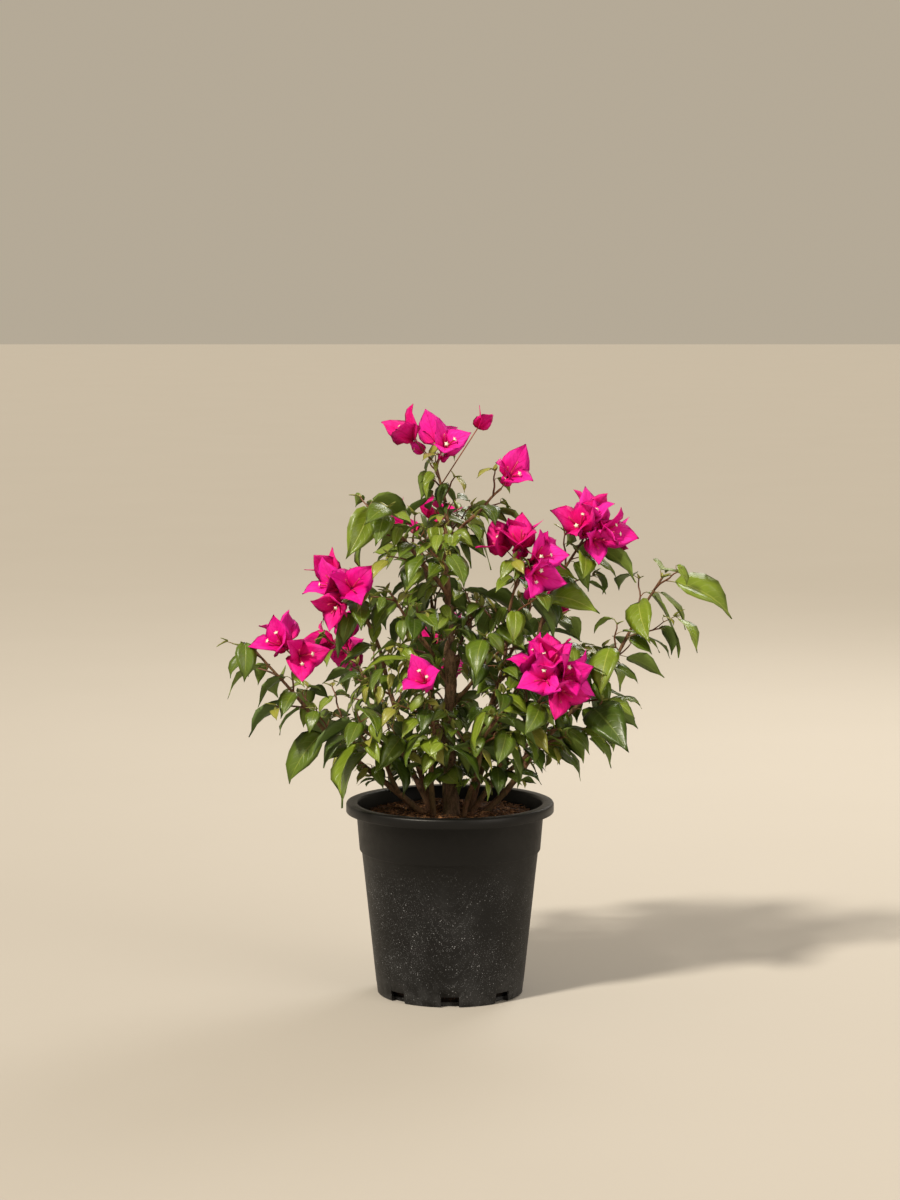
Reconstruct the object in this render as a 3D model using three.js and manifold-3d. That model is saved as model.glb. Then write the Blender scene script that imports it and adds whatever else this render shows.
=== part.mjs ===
// A bougainvillea shrub in a black nursery pot: the pot, its potting mix, a pruned main stem with its
// leader, the boughs, and one leafy, flowering spray at the end of each bough.
// Millimetres, +Z up. The origin is the centre of the pot's flat underside.
// Headings are degrees round the pot, seen from above: 0 is right (+X), 90 the back, 270 the front.

import * as THREE from 'three';
import { mergeGeometries, mergeVertices } from 'three/addons/utils/BufferGeometryUtils.js';
import Module from 'manifold-3d';

const wasm = await Module();
wasm.setup();

// Driving dimensions of the pot
const POT_HEIGHT = 260;
const RIM_RADIUS = 140;
const LIP_HEIGHT = 13;
const LIP_THICKNESS = 2.6;
const NECK_RADIUS = 127;
const BAND_HEIGHT = 194.5;
const BAND_RADIUS = 122;
const BAND_STEP = 3;
const FOOT_RADIUS = 98.5;
const WALL = 2.4;
const FLOOR = 5;
const NOTCHES = 8;
const NOTCH_WIDTH = 24;
const NOTCH_HEIGHT = 14;
const NOTCH_DEPTH = 9;
const POT_SEGMENTS = 36;

// Driving dimensions of the potting mix
const MIX_HEIGHT = 245;
const MIX_EDGE_DROP = 5;
const MIX_FLAT_RADIUS = 78;
const GAP = 0.3;
const SHORTEST_EDGE = 0.01;
const NUDGES = 24;
const NUDGE_STEP = 0.03;

// Driving dimensions of the plant
const SEED = 4711;
const GOLDEN_ANGLE = 137.508;
const MAIN_STEM = { top: 527, lean: -3, footRadius: 9.2, topRadius: 7.2, flare: 4.5, flareHeight: 14 };
const BOUGH_KINK = 0.018;
const LEADER_STEPS = 4;
const TWIG_STEPS = 1;
const TWIG_ANGLE = 52;
const TWIG_RADIUS = 1.5;
const LEAF_STEP = 24;
const LEAF_TURNS = [0, 70, -70];
const LEAF_LENGTH = 76;
const LEAF_WIDTH = 0.52;
const PETIOLE = 11;
const BRACT_LENGTH = 47;
const BRACT_NOTCH = 0.66;
const BRACT_THICKNESS = 0.07;
const LEAF_THICKNESS = 0.03;
const TWIG_BLOOMS = 3;
const DOME = 66;
const FACING = 0.75;
const STALK = 24;
const STALK_RADIUS = 0.9;

// Each bough is the bare lower share of a stem, and its spray grows along the rest of that stem.
// A stem rises from a foot [heading, reach] on the potting mix, or from a share, at, of the limb
// that it stands on, to its tip [heading, reach, height]; bow lifts its middle. It carries twigs of
// about the length spread, the first at heading turn, and flowers at its tip and on bloomTwig, which
// face outwards or the heading toward, by the share facing. Its leaves are leaf times the usual size.
const STEMS = [
  { name: 'left_low', foot: [190, 32], tip: [189, 262, 470], radius: 4.8, bow: -14, bare: 0.5,
    twigs: 6, spread: 58, blooms: 0, bloomTwig: 4, toward: 262, turn: 140, leaf: 1.1 },
  { name: 'left_mid', foot: [160, 28], tip: [192, 136, 544], radius: 4.6, bow: 30, bare: 0.38,
    twigs: 5, spread: 56, blooms: 4, toward: 250, bloomTwig: 0, turn: 10 },
  { name: 'left_high', on: 'leader', at: 0.1, tip: [198, 112, 650], radius: 3.4, bow: 12, bare: 0.2,
    twigs: 5, spread: 50, blooms: 0, bloomTwig: 0, turn: 75 },
  { name: 'front_left', foot: [232, 36], tip: [257, 116, 424], radius: 4.2, bow: 24, bare: 0.34,
    twigs: 5, spread: 60, blooms: 1, toward: 262, bloomTwig: 0, turn: 130 },
  { name: 'left_skirt', on: 'left_low', at: 0.35, tip: [216, 150, 366], radius: 3.4, bow: 12,
    bare: 0.2, twigs: 4, spread: 50, blooms: 0, bloomTwig: 0, turn: 200, leaf: 1.25 },
  { name: 'front_right', foot: [296, 40], tip: [300, 128, 392], radius: 3.8, bow: 22, bare: 0.34,
    twigs: 4, spread: 54, blooms: 0, bloomTwig: 0, turn: 20 },
  { name: 'right_low', foot: [326, 30], tip: [328, 154, 434], radius: 4.2, bow: 0, bare: 0.4,
    twigs: 5, spread: 62, blooms: 7, toward: 275, bloomTwig: 0, turn: 60 },
  { name: 'right_skirt', on: 'right_low', at: 0.55, tip: [350, 198, 368], radius: 3.4, bow: 14,
    bare: 0.25, twigs: 4, spread: 54, blooms: 0, bloomTwig: 0, turn: 310, leaf: 1.3 },
  { name: 'right_far', foot: [6, 42], tip: [359, 284, 564], radius: 4.8, bow: -22, bare: 0.42,
    twigs: 7, spread: 70, blooms: 0, bloomTwig: 0, turn: 0, leaf: 1.25 },
  { name: 'right_mid', foot: [354, 25], tip: [337, 103, 582], radius: 4.4, bow: 12, bare: 0.42,
    twigs: 6, spread: 58, blooms: 7, toward: 275, bloomTwig: 0, turn: 95 },
  { name: 'right_high', foot: [36, 32], tip: [7, 182, 616], radius: 4.4, bow: 26, bare: 0.42,
    twigs: 6, spread: 60, blooms: 5, toward: 300, bloomTwig: 0, turn: 150 },
  { name: 'right_back', on: 'right_far', at: 0.45, tip: [32, 228, 440], radius: 3.6, bow: 12,
    bare: 0.25, twigs: 4, spread: 60, blooms: 0, bloomTwig: 0, turn: 45 },
  { name: 'back_right', foot: [58, 42], tip: [55, 196, 506], radius: 4.8, bow: 20, bare: 0.4,
    twigs: 6, spread: 66, blooms: 3, bloomTwig: 0, turn: 5 },
  { name: 'back_mid', foot: [88, 46], tip: [92, 206, 430], radius: 4.6, bow: 12, bare: 0.36,
    twigs: 6, spread: 68, blooms: 3, bloomTwig: 0, turn: 80 },
  { name: 'back_high', foot: [100, 30], tip: [112, 108, 607], radius: 4.6, bow: 24, bare: 0.42,
    twigs: 6, spread: 66, blooms: 2, bloomTwig: 0, turn: 220 },
  { name: 'back_left', foot: [130, 40], tip: [136, 194, 446], radius: 4.6, bow: 14, bare: 0.38,
    twigs: 5, spread: 64, blooms: 3, bloomTwig: 0, turn: 260 },
  { name: 'left_back', on: 'back_left', at: 0.45, tip: [152, 180, 366], radius: 3.4, bow: 10,
    bare: 0.2, twigs: 4, spread: 58, blooms: 0, bloomTwig: 0, turn: 175 },
  { name: 'inner_left', on: 'main_stem', at: 0.6, tip: [210, 92, 548], radius: 3.2, bow: 4,
    bare: 0.2, twigs: 4, spread: 54, blooms: 0, bloomTwig: 0, turn: 15, leaf: 0.75 },
  { name: 'inner_right', on: 'main_stem', at: 0.5, tip: [330, 88, 480], radius: 3.2, bow: 4,
    bare: 0.2, twigs: 3, spread: 50, blooms: 0, bloomTwig: 0, turn: 300, leaf: 0.75 },
  { name: 'inner_back', on: 'main_stem', at: 0.62, tip: [66, 92, 524], radius: 3.2, bow: 4,
    bare: 0.2, twigs: 3, spread: 60, blooms: 0, bloomTwig: 0, turn: 120 },
  { name: 'upper_left', on: 'leader', at: 0.25, tip: [258, 70, 612], radius: 2.8, bow: 3,
    bare: 0.2, twigs: 3, spread: 44, blooms: 0, bloomTwig: 0, turn: 330, leaf: 0.8 },
  { name: 'upper_right', on: 'leader', at: 0.5, tip: [340, 72, 684], radius: 2.6, bow: 3,
    bare: 0.2, twigs: 3, spread: 42, blooms: 1, toward: 285, bloomTwig: 0, turn: 100, leaf: 0.85 },
  { name: 'upper_back', on: 'leader', at: 0.4, tip: [84, 64, 640], radius: 2.8, bow: 3,
    bare: 0.2, twigs: 3, spread: 48, blooms: 0, bloomTwig: 0, turn: 50, leaf: 0.85 },
];
const LEADER = { foot: 0.985, tip: [236, 11, 664], radius: 4.2, tipRadius: 2.5 };
const TOP_SPRAY = { name: 'top', tip: [210, 22, 716], twigs: 4, spread: 36, blooms: 3, stalk: 42,
  toward: 262, facing: 0.3, bloomTwig: 0, turn: 190, leaf: 0.75 };

// A box in front of the main stem that no twig, leaf or flower grows into.
const CLEARING = { middle: [6, -110, 474], size: [30, 160, 140] };

const COLOURS = {
  pot: [0x1d1d1e, 0.55],
  mix: [0x3a2115, 0.95],
  bark: [0x5c3a26, 0.85],
  foliage: [0x3f5f24, 0.5],
};

const UP = new THREE.Vector3(0, 0, 1);
const SIDE_REFERENCE = new THREE.Vector3(0.31, 0.93, 0.2).normalize();
const radians = THREE.MathUtils.degToRad;

// A seeded source of numbers from 0 to 1.
function random(seed) {
  let state = seed;
  return () => {
    state = (state + 0x6d2b79f5) | 0;
    let mixed = Math.imul(state ^ (state >>> 15), 1 | state);
    mixed = (mixed + Math.imul(mixed ^ (mixed >>> 7), 61 | mixed)) ^ mixed;
    return ((mixed ^ (mixed >>> 14)) >>> 0) / 4294967296;
  };
}

function polar([heading, reach, height]) {
  const angle = radians(heading);
  return new THREE.Vector3(reach * Math.cos(angle), reach * Math.sin(angle), height);
}

// The sum of vectors, each times its share.
function blend(...pairs) {
  const sum = new THREE.Vector3();
  for (const [vector, share] of pairs) sum.addScaledVector(vector, share);
  return sum;
}

// The unit vector square to axis at an angle round it.
function around(axis, degrees) {
  const across = new THREE.Vector3().crossVectors(axis, SIDE_REFERENCE).normalize();
  const over = new THREE.Vector3().crossVectors(axis, across);
  return blend([across, Math.cos(radians(degrees))], [over, Math.sin(radians(degrees))]);
}

// A stem's axis: a bow through foot, knee and tip with a slow kink, and a radius that tapers.
class Stem extends THREE.Curve {
  constructor(foot, knee, tip, footRadius, tipRadius, kink = 0, phase = 0) {
    super();
    Object.assign(this, { foot, knee, tip, footRadius, tipRadius, phase });
    this.kink = kink * foot.distanceTo(tip);
  }

  getPoint(t) {
    const bow = blend([this.foot, (1 - t) ** 2], [this.knee, 2 * t * (1 - t)], [this.tip, t * t]);
    const swing = this.kink * Math.sin(Math.PI * t);
    bow.x += swing * Math.sin(9 * t + this.phase);
    bow.y += swing * Math.cos(11 * t + this.phase);
    return bow;
  }

  radiusAt(t) {
    return THREE.MathUtils.lerp(this.footRadius, this.tipRadius, t);
  }
}

// The part of a stem between two shares of its length.
class Section extends THREE.Curve {
  constructor(stem, from, to) {
    super();
    Object.assign(this, { stem, from, to });
  }

  getPoint(t) {
    return this.stem.getPoint(THREE.MathUtils.lerp(this.from, this.to, t));
  }

  radiusAt(t) {
    return this.stem.radiusAt(THREE.MathUtils.lerp(this.from, this.to, t));
  }
}

// The closed mesh of a geometry as a solid that can be cut and joined.
function solidOf(geometry) {
  const bare = geometry.index ? geometry.toNonIndexed() : geometry.clone();
  for (const name of Object.keys(bare.attributes)) {
    if (name !== 'position') bare.deleteAttribute(name);
  }
  const merged = mergeVertices(bare, 1e-4);
  return new wasm.Manifold(new wasm.Mesh({
    numProp: 3,
    vertProperties: merged.attributes.position.array,
    triVerts: new Uint32Array(merged.index.array),
  }));
}

// The largest body of a solid as a geometry with flat faces.
function geometryOf(solid) {
  const [largest] = solid.decompose().sort((a, b) => b.volume() - a.volume());
  const mesh = largest.getMesh();
  const geometry = new THREE.BufferGeometry();
  geometry.setAttribute('position', new THREE.BufferAttribute(mesh.vertProperties, mesh.numProp));
  geometry.setIndex(new THREE.BufferAttribute(mesh.triVerts, 1));
  return geometry;
}

function lathe(profile) {
  const points = profile.map(([x, y]) => new THREE.Vector2(x, y));
  return new THREE.LatheGeometry(points, POT_SEGMENTS).rotateX(Math.PI / 2);
}

// A closed tube round a stem's axis: a cylinder whose rings are moved onto the axis.
function tube(stem, sides, steps, extra = 0) {
  const geometry = new THREE.CylinderGeometry(1, 1, 1, sides, steps);
  const position = geometry.getAttribute('position');
  const rings = [];
  let across = around(stem.getTangent(0), 0);
  for (let step = 0; step <= steps; step++) {
    const t = step / steps;
    const along = stem.getTangent(t);
    across = across.clone().addScaledVector(along, -across.dot(along)).normalize();
    const over = new THREE.Vector3().crossVectors(across, along);
    rings.push({ centre: stem.getPoint(t), across, over, radius: stem.radiusAt(t) + extra });
  }
  for (let i = 0; i < position.count; i++) {
    const { centre, across: u, over: v, radius } = rings[Math.round((position.getY(i) + 0.5) * steps)];
    const moved = blend([centre, 1], [u, position.getX(i) * radius], [v, position.getZ(i) * radius]);
    position.setXYZ(i, moved.x, moved.y, moved.z);
  }
  return geometry;
}

// The point at a share of the way along a tube of straight steps, on its centre line.
function centreLine({ core, steps }, t) {
  const step = Math.min(Math.floor(t * steps), steps - 1);
  return core.getPoint(step / steps).lerp(core.getPoint((step + 1) / steps), t * steps - step);
}

// A leaf: its blade leaves foot along axis, bends away from its face, and tapers to a tip.
class Blade {
  constructor(root, foot, axis, face, length, width, bend, fold) {
    Object.assign(this, { root, foot, axis, face, length, width, bend, fold });
    this.side = new THREE.Vector3().crossVectors(axis, face);
  }

  // The point at a share of the length along the midrib, and to the side by a share of the width.
  at(share, aside, lift = 0) {
    const turned = radians(this.bend) * share;
    const bow = radians(this.bend) || 1e-6;
    const forward = this.length * Math.sin(turned) / bow;
    const down = this.length * (1 - Math.cos(turned)) / bow;
    const out = this.width * Math.abs(aside);
    const raised = lift + out * Math.sin(radians(this.fold));
    const normal = blend([this.face, Math.cos(turned)], [this.axis, Math.sin(turned)]);
    return blend([this.foot, 1], [this.axis, forward], [this.face, -down], [normal, raised],
      [this.side, Math.sign(aside) * out * Math.cos(radians(this.fold))]);
  }

  // A closed kite, from the root over the broadest place to the tip, thickest on its midrib.
  solid(thickness) {
    const sink = -thickness / 2;
    const points = [this.root, this.at(0.4, 0.5, sink), this.at(1, 0), this.at(0.4, -0.5, sink),
      this.at(0.45, 0, thickness)];
    const faces = [4, 0, 1, 4, 1, 2, 4, 2, 3, 4, 3, 0, 0, 2, 1, 0, 3, 2];
    return new THREE.BufferGeometry().setFromPoints(points).setIndex(faces);
  }
}

// A closed thin solid: an outline joined to one point above it and one below.
function fan(outline, above, below) {
  const faces = [];
  for (let i = 0; i < outline.length; i++) {
    const here = 2 + i;
    const next = 2 + (i + 1) % outline.length;
    faces.push(0, here, next, 1, next, here);
  }
  const geometry = new THREE.BufferGeometry().setFromPoints([above, below, ...outline]);
  return geometry.setIndex(faces);
}

// A leaf at a point of a twig, held out by its stalk, with its blade hanging outwards. Its solid
// starts from root, on the twig's centre line.
function leafAt(root, base, along, heading, size, [drop, lean, large, curl, cup]) {
  const out = around(along, heading);
  const stalk = blend([along, 0.5], [out, 0.85], [UP, 0.2]).normalize();
  const level = blend([stalk, 1], [new THREE.Vector3(base.x, base.y, 0).normalize(), 0.3]);
  level.z = 0;
  level.normalize();
  const pitch = radians(56 * drop - 10);
  const axis = blend([level, Math.cos(pitch)], [UP, -Math.sin(pitch)]);
  const flat = blend([level, Math.sin(pitch)], [UP, Math.cos(pitch)]);
  const roll = radians(76 * (lean - 0.5));
  const across = new THREE.Vector3().crossVectors(axis, flat);
  const face = blend([flat, Math.cos(roll)], [across, Math.sin(roll)]);
  const length = size * LEAF_LENGTH * (0.46 + 0.7 * large ** 2);
  const bend = 34 + 34 * curl;
  const foot = blend([base, 1], [stalk, PETIOLE * size]);
  return new Blade(root, foot, axis, face, length, length * LEAF_WIDTH, bend, 14 + 14 * cup);
}

// A flower: a stalk that carries three bracts side by side in a cup.
function flowerAt(base, facing, stalk, draw) {
  const centre = blend([base, 1], [facing, stalk]);
  const open = 34 + 14 * draw();
  const turn = 120 * draw();
  const rim = [];
  for (const angle of [0, 120, 240]) {
    const length = BRACT_LENGTH * (0.92 + 0.16 * draw());
    for (const [aside, share] of [[0, 1], [60, BRACT_NOTCH]]) {
      const out = around(facing, angle + turn + aside);
      const reach = length * share;
      rim.push(blend([centre, 1], [facing, reach * Math.cos(radians(open))],
        [out, reach * Math.sin(radians(open))]));
    }
  }
  const inside = blend([centre, 1], [facing, BRACT_THICKNESS * BRACT_LENGTH]);
  const middle = blend([centre, 0.5], [inside, 0.5]);
  const stem = new Stem(base, blend([base, 0.5], [middle, 0.5]), middle, STALK_RADIUS, STALK_RADIUS);
  return { stalk: stem, cup: fan(rim, inside, centre) };
}

// The flowers of one cluster, spread over a dome round the twig's end that leans by the vector out.
function cluster(twig, count, stalk, out, draw) {
  const tip = twig.getPoint(1);
  const along = blend([twig.getTangent(1), 1], [UP, 0.3], [out, 1]).normalize();
  const flowers = [];
  for (let k = 0; k < count; k++) {
    const tilt = radians(count === 1 ? 12 : DOME * Math.sqrt((k + 0.5) / count));
    const side = around(along, k * GOLDEN_ANGLE + 40 * draw());
    const facing = blend([along, Math.cos(tilt)], [side, Math.sin(tilt)]).normalize();
    flowers.push(flowerAt(tip, facing, stalk * (0.8 + 0.5 * draw()), draw));
  }
  return flowers;
}

// Everything that one spray grows along its leader: twigs, their leaves and their flowers. A twig
// grows along its curve, and its solid has a straight core.
function growSpray(spray, leader, index) {
  const draw = random(SEED + index);
  const twigs = [{ curve: leader, core: leader, steps: LEADER_STEPS }];
  for (let k = 0; k < spray.twigs; k++) {
    const share = (k + 0.5) / spray.twigs;
    const base = leader.getPoint(share);
    const direction = leader.getTangent(share);
    const out = around(direction, spray.turn + k * GOLDEN_ANGLE);
    const away = new THREE.Vector3(base.x, base.y, 0).normalize();
    const lean = blend([direction, Math.cos(radians(TWIG_ANGLE))], [out, Math.sin(radians(TWIG_ANGLE))],
      [away, 0.22], [UP, 0.1]).normalize();
    const length = spray.spread * (1.1 - 0.4 * share) * (0.8 + 0.4 * draw());
    const bent = blend([base, 1], [lean, length * 0.55], [UP, length * 0.08]);
    const end = blend([base, 1], [lean, length], [UP, length * 0.04]);
    const curve = new Stem(base, bent, end, TWIG_RADIUS, TWIG_RADIUS * 0.6, 0.03, draw() * 6);
    const foot = centreLine(twigs[0], share);
    const middle = blend([foot, 0.5], [end, 0.5]);
    const core = new Stem(foot, middle, end, TWIG_RADIUS, TWIG_RADIUS * 0.6);
    twigs.push({ curve, core, steps: TWIG_STEPS });
  }
  const leaves = [];
  const flowers = [];
  twigs.forEach((twig, k) => {
    const count = Math.max(2, Math.round(twig.curve.getLength() / LEAF_STEP));
    const turn = 360 * draw();
    const blooms = k === 0 ? spray.blooms : TWIG_BLOOMS * (k === spray.bloomTwig);
    for (let j = 0; j < count; j++) {
      const share = (j + 0.75) / (count + (blooms ? 0.9 : -0.2));
      const size = (spray.leaf || 1) * (k === 0 ? 0.9 : 1.05 - 0.35 * share ** 2);
      const heading = turn + j * GOLDEN_ANGLE;
      const look = [draw(), draw(), draw(), draw(), draw()];
      const blades = LEAF_TURNS.map((more) => leafAt(centreLine(twig, share),
        twig.curve.getPoint(share), twig.curve.getTangent(share), heading + more, size, look));
      leaves.push({ blades, twig: k });
    }
    const out = polar([spray.toward ?? spray.tip[0], spray.facing ?? FACING, 0]);
    const bunch = cluster(twig.curve, blooms, spray.stalk || STALK, out, draw);
    flowers.push(...bunch.map((flower) => ({ ...flower, twig: k })));
  });
  return { twigs, leaves, flowers };
}

// The solids of a spray's twigs and flowers, without those that would touch a neighbour.
function framework(grown, neighbours) {
  const rod = ({ core, steps }, extra) => solidOf(tube(core, 3, steps, extra));
  const twigs = grown.twigs.map((twig, k) => (
    k > 0 && meets(rod(twig, 2 * GAP), neighbours) ? null : rod(twig, 0)));
  const blades = [];
  for (const { stalk, cup, twig } of grown.flowers) {
    const flower = joined(solidOf(tube(stalk, 3, 1)), solidOf(cup));
    if (twigs[twig] && !meets(flower, neighbours)) blades.push(flower);
  }
  return { twigs, blades };
}

// The solids of a spray's leaves, without those that would touch a neighbour, or another twig, flower
// or leaf of the spray itself, however they are turned.
function addLeaves(grown, { twigs, blades }, neighbours) {
  const thickness = (blade) => blade.length * LEAF_THICKNESS;
  for (const { blades: tries, twig } of grown.leaves) {
    const otherTwigs = twigs.filter((other, k) => other && k !== twig && !(k === 0 && twig > 0));
    const near = [...neighbours, ...blades, ...otherTwigs];
    const free = tries.find((blade) => twigs[twig]
      && !meets(solidOf(blade.solid(thickness(blade) + 2 * GAP)), near));
    if (free) blades.push(solidOf(free.solid(thickness(free))));
  }
}

function piecesOf({ twigs, blades }) {
  return [...twigs.filter(Boolean), ...blades];
}

// Two solids in one body. The second is moved a hair, or left out in the end, where it would stay
// apart or their seam would have an edge too short to keep.
function joined(whole, piece) {
  for (let k = 0; k < NUDGES; k++) {
    const hair = k * NUDGE_STEP;
    const nudge = polar([k * GOLDEN_ANGLE, hair, k % 2 ? hair : -hair]);
    const both = whole.add(piece.translate(nudge.toArray()));
    if (shortestEdge(both) > SHORTEST_EDGE && both.decompose().length === 1) return both;
  }
  return whole;
}

function shortestEdge(solid) {
  const { vertProperties, triVerts } = solid.getMesh();
  const corner = (i) => new THREE.Vector3().fromArray(vertProperties, 3 * triVerts[i]);
  let shortest = Infinity;
  for (let i = 0; i < triVerts.length; i++) {
    const next = i % 3 === 2 ? i - 2 : i + 1;
    shortest = Math.min(shortest, corner(i).distanceTo(corner(next)));
  }
  return shortest;
}

// Whether a solid meets any of the others, with a quick look at their boxes first.
function meets(solid, others) {
  const box = boxOf(solid);
  return others.some((other) => {
    other.box ??= boxOf(other);
    return box.intersectsBox(other.box) && !solid.intersect(other).isEmpty();
  });
}

function boxOf(solid) {
  const { min, max } = solid.boundingBox();
  return new THREE.Box3(new THREE.Vector3(...min), new THREE.Vector3(...max));
}

function potGeometry() {
  const underLip = POT_HEIGHT - LIP_THICKNESS;
  const shoulder = BAND_RADIUS - BAND_STEP;
  const profile = [
    [0, 0], [FOOT_RADIUS, 0], [shoulder, BAND_HEIGHT], [BAND_RADIUS, BAND_HEIGHT],
    [NECK_RADIUS, underLip], [RIM_RADIUS - LIP_THICKNESS, underLip],
    [RIM_RADIUS - LIP_THICKNESS, POT_HEIGHT - LIP_HEIGHT], [RIM_RADIUS, POT_HEIGHT - LIP_HEIGHT],
    [RIM_RADIUS, POT_HEIGHT - 2], [RIM_RADIUS - 2, POT_HEIGHT], [NECK_RADIUS - WALL + 2, POT_HEIGHT],
    [NECK_RADIUS - WALL, underLip], [shoulder - WALL, BAND_HEIGHT - 3],
    [FOOT_RADIUS - WALL, FLOOR], [0, FLOOR],
  ];
  const notches = [];
  for (let k = 0; k < NOTCHES; k++) {
    const notch = new THREE.BoxGeometry(2 * NOTCH_DEPTH, NOTCH_WIDTH, 2 * NOTCH_HEIGHT);
    notch.translate(FOOT_RADIUS, 0, 0).rotateZ(2 * Math.PI * k / NOTCHES - Math.PI / 2);
    notches.push(notch);
  }
  return geometryOf(solidOf(lathe(profile)).subtract(solidOf(mergeGeometries(notches))));
}

function mixGeometry() {
  const wallRadius = (height) => THREE.MathUtils.mapLinear(height, FLOOR, BAND_HEIGHT - 3,
    FOOT_RADIUS - WALL, BAND_RADIUS - BAND_STEP - WALL) - 1;
  const edge = MIX_HEIGHT - MIX_EDGE_DROP;
  const clearOfNotches = NOTCH_HEIGHT + 2;
  return lathe([[0, FLOOR + GAP], [FOOT_RADIUS - NOTCH_DEPTH - 2, FLOOR + GAP],
    [FOOT_RADIUS - NOTCH_DEPTH - 2, clearOfNotches], [wallRadius(clearOfNotches), clearOfNotches],
    [wallRadius(BAND_HEIGHT - 3), BAND_HEIGHT - 3], [wallRadius(edge), edge],
    [MIX_FLAT_RADIUS, MIX_HEIGHT], [0, MIX_HEIGHT]]);
}

const materials = {};
for (const [name, [colour, roughness]] of Object.entries(COLOURS)) {
  materials[name] = new THREE.MeshStandardMaterial({ color: colour, roughness, metalness: 0 });
}

const shrub = new THREE.Group();
function place(name, geometry, material) {
  const mesh = new THREE.Mesh(geometry, materials[material]);
  mesh.name = name;
  shrub.add(mesh);
}

place('pot', potGeometry(), 'pot');
place('potting_mix', mixGeometry(), 'mix');

// The stems stand on the mix: each tube starts a little way down in it and is cut off level above it.
const ground = MIX_HEIGHT + GAP;
const below = solidOf(new THREE.BoxGeometry(400, 400, 60).translate(0, 0, ground - 30));
const limbs = {};
const limbOf = (name) => limbs[name] || limbs['bough_' + name];

function placeLimb(name, stem, sides, steps, parent) {
  let solid = solidOf(tube(stem, sides, steps)).subtract(below);
  if (parent) solid = solid.subtract(limbOf(parent).sleeve);
  stem.sleeve = solidOf(tube(stem, sides, steps, 1.2 * GAP));
  limbs[name] = stem;
  place(name, geometryOf(solid), 'bark');
}

const stemFoot = new THREE.Vector3(2, -20, ground - 6);
const stemTop = new THREE.Vector3(MAIN_STEM.lean, -14, MAIN_STEM.top);
const mainStem = new Stem(stemFoot, blend([stemFoot, 0.5], [stemTop, 0.5], [UP, 10]), stemTop,
  MAIN_STEM.footRadius, MAIN_STEM.topRadius, 0.008, 2);
mainStem.radiusAt = (t) => THREE.MathUtils.lerp(MAIN_STEM.footRadius, MAIN_STEM.topRadius, t)
  + MAIN_STEM.flare * Math.exp(-t * (MAIN_STEM.top - ground) / MAIN_STEM.flareHeight);
placeLimb('main_stem', mainStem, 8, 10);

const leaderTip = polar(LEADER.tip);
const leaderFoot = mainStem.getPoint(LEADER.foot);
const leader = new Stem(leaderFoot, blend([leaderFoot, 0.5], [leaderTip, 0.5], [UP, 20]), leaderTip,
  LEADER.radius, LEADER.tipRadius, 0.02, 1);
placeLimb('leader', leader, 6, 5, 'main_stem');

const leaders = [];
STEMS.forEach((plan, index) => {
  const tip = polar(plan.tip);
  const foot = plan.on ? limbOf(plan.on).getPoint(plan.at) : polar([...plan.foot, ground - 5]);
  const knee = blend([foot, 0.5], [tip, 0.5], [UP, 2 * plan.bow]);
  const stem = new Stem(foot, knee, tip, plan.radius, TWIG_RADIUS, BOUGH_KINK, index);
  const split = plan.bare + GAP / foot.distanceTo(tip);
  placeLimb('bough_' + plan.name, new Section(stem, 0, plan.bare), 5, 4, plan.on);
  leaders.push([plan, new Section(stem, split, 1)]);
});
const topFoot = blend([leader.getPoint(1), 1], [leader.getTangent(1), 2 * GAP]);
const topTip = polar(TOP_SPRAY.tip);
const topKnee = blend([topFoot, 0.5], [topTip, 0.5]);
leaders.push([TOP_SPRAY, new Stem(topFoot, topKnee, topTip, LEADER.tipRadius, TWIG_RADIUS)]);

const bare = Object.values(limbs).map((limb) => limb.sleeve);
const clearing = new THREE.BoxGeometry(...CLEARING.size).translate(...CLEARING.middle);
bare.push(solidOf(clearing));
const leafy = leaders.map(([, stem]) => solidOf(tube(stem, 3, LEADER_STEPS, 1.2 * GAP)));
const grown = leaders.map(([plan, stem], index) => growSpray(plan, stem, index));
const sprays = [];
function neighboursOf(index) {
  const others = sprays.filter((_, other) => other !== index).flatMap(piecesOf);
  return [...bare, ...leafy.filter((_, other) => other !== index), ...others];
}

// Twigs and flowers take their places before any leaf does.
grown.forEach((plant, index) => sprays.push(framework(plant, neighboursOf(index))));
leaders.forEach(([plan], index) => {
  addLeaves(grown[index], sprays[index], neighboursOf(index));
  place('spray_' + plan.name, geometryOf(piecesOf(sprays[index]).reduce(joined)), 'foliage');
});

export default shrub;
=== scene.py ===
"""A young bougainvillea shrub in its black nursery pot, dressed for rendering.

The stems, sprays and flowers grow by the same seeded rule as the solids of the part, worked in
millimetres, and go on here to finer twigs, smaller leaves, florets, bark and a fibrous mix.
Headings are degrees round the pot, seen from above: 0 is right (+X), 90 the back, 270 the front.
"""

import logging
import math
from dataclasses import dataclass, field, replace
from enum import Enum
from typing import Callable, Iterable, Sequence

import bmesh
import bpy
import numpy as np
from mathutils import Matrix, Vector, noise
from mathutils.bvhtree import BVHTree


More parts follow.
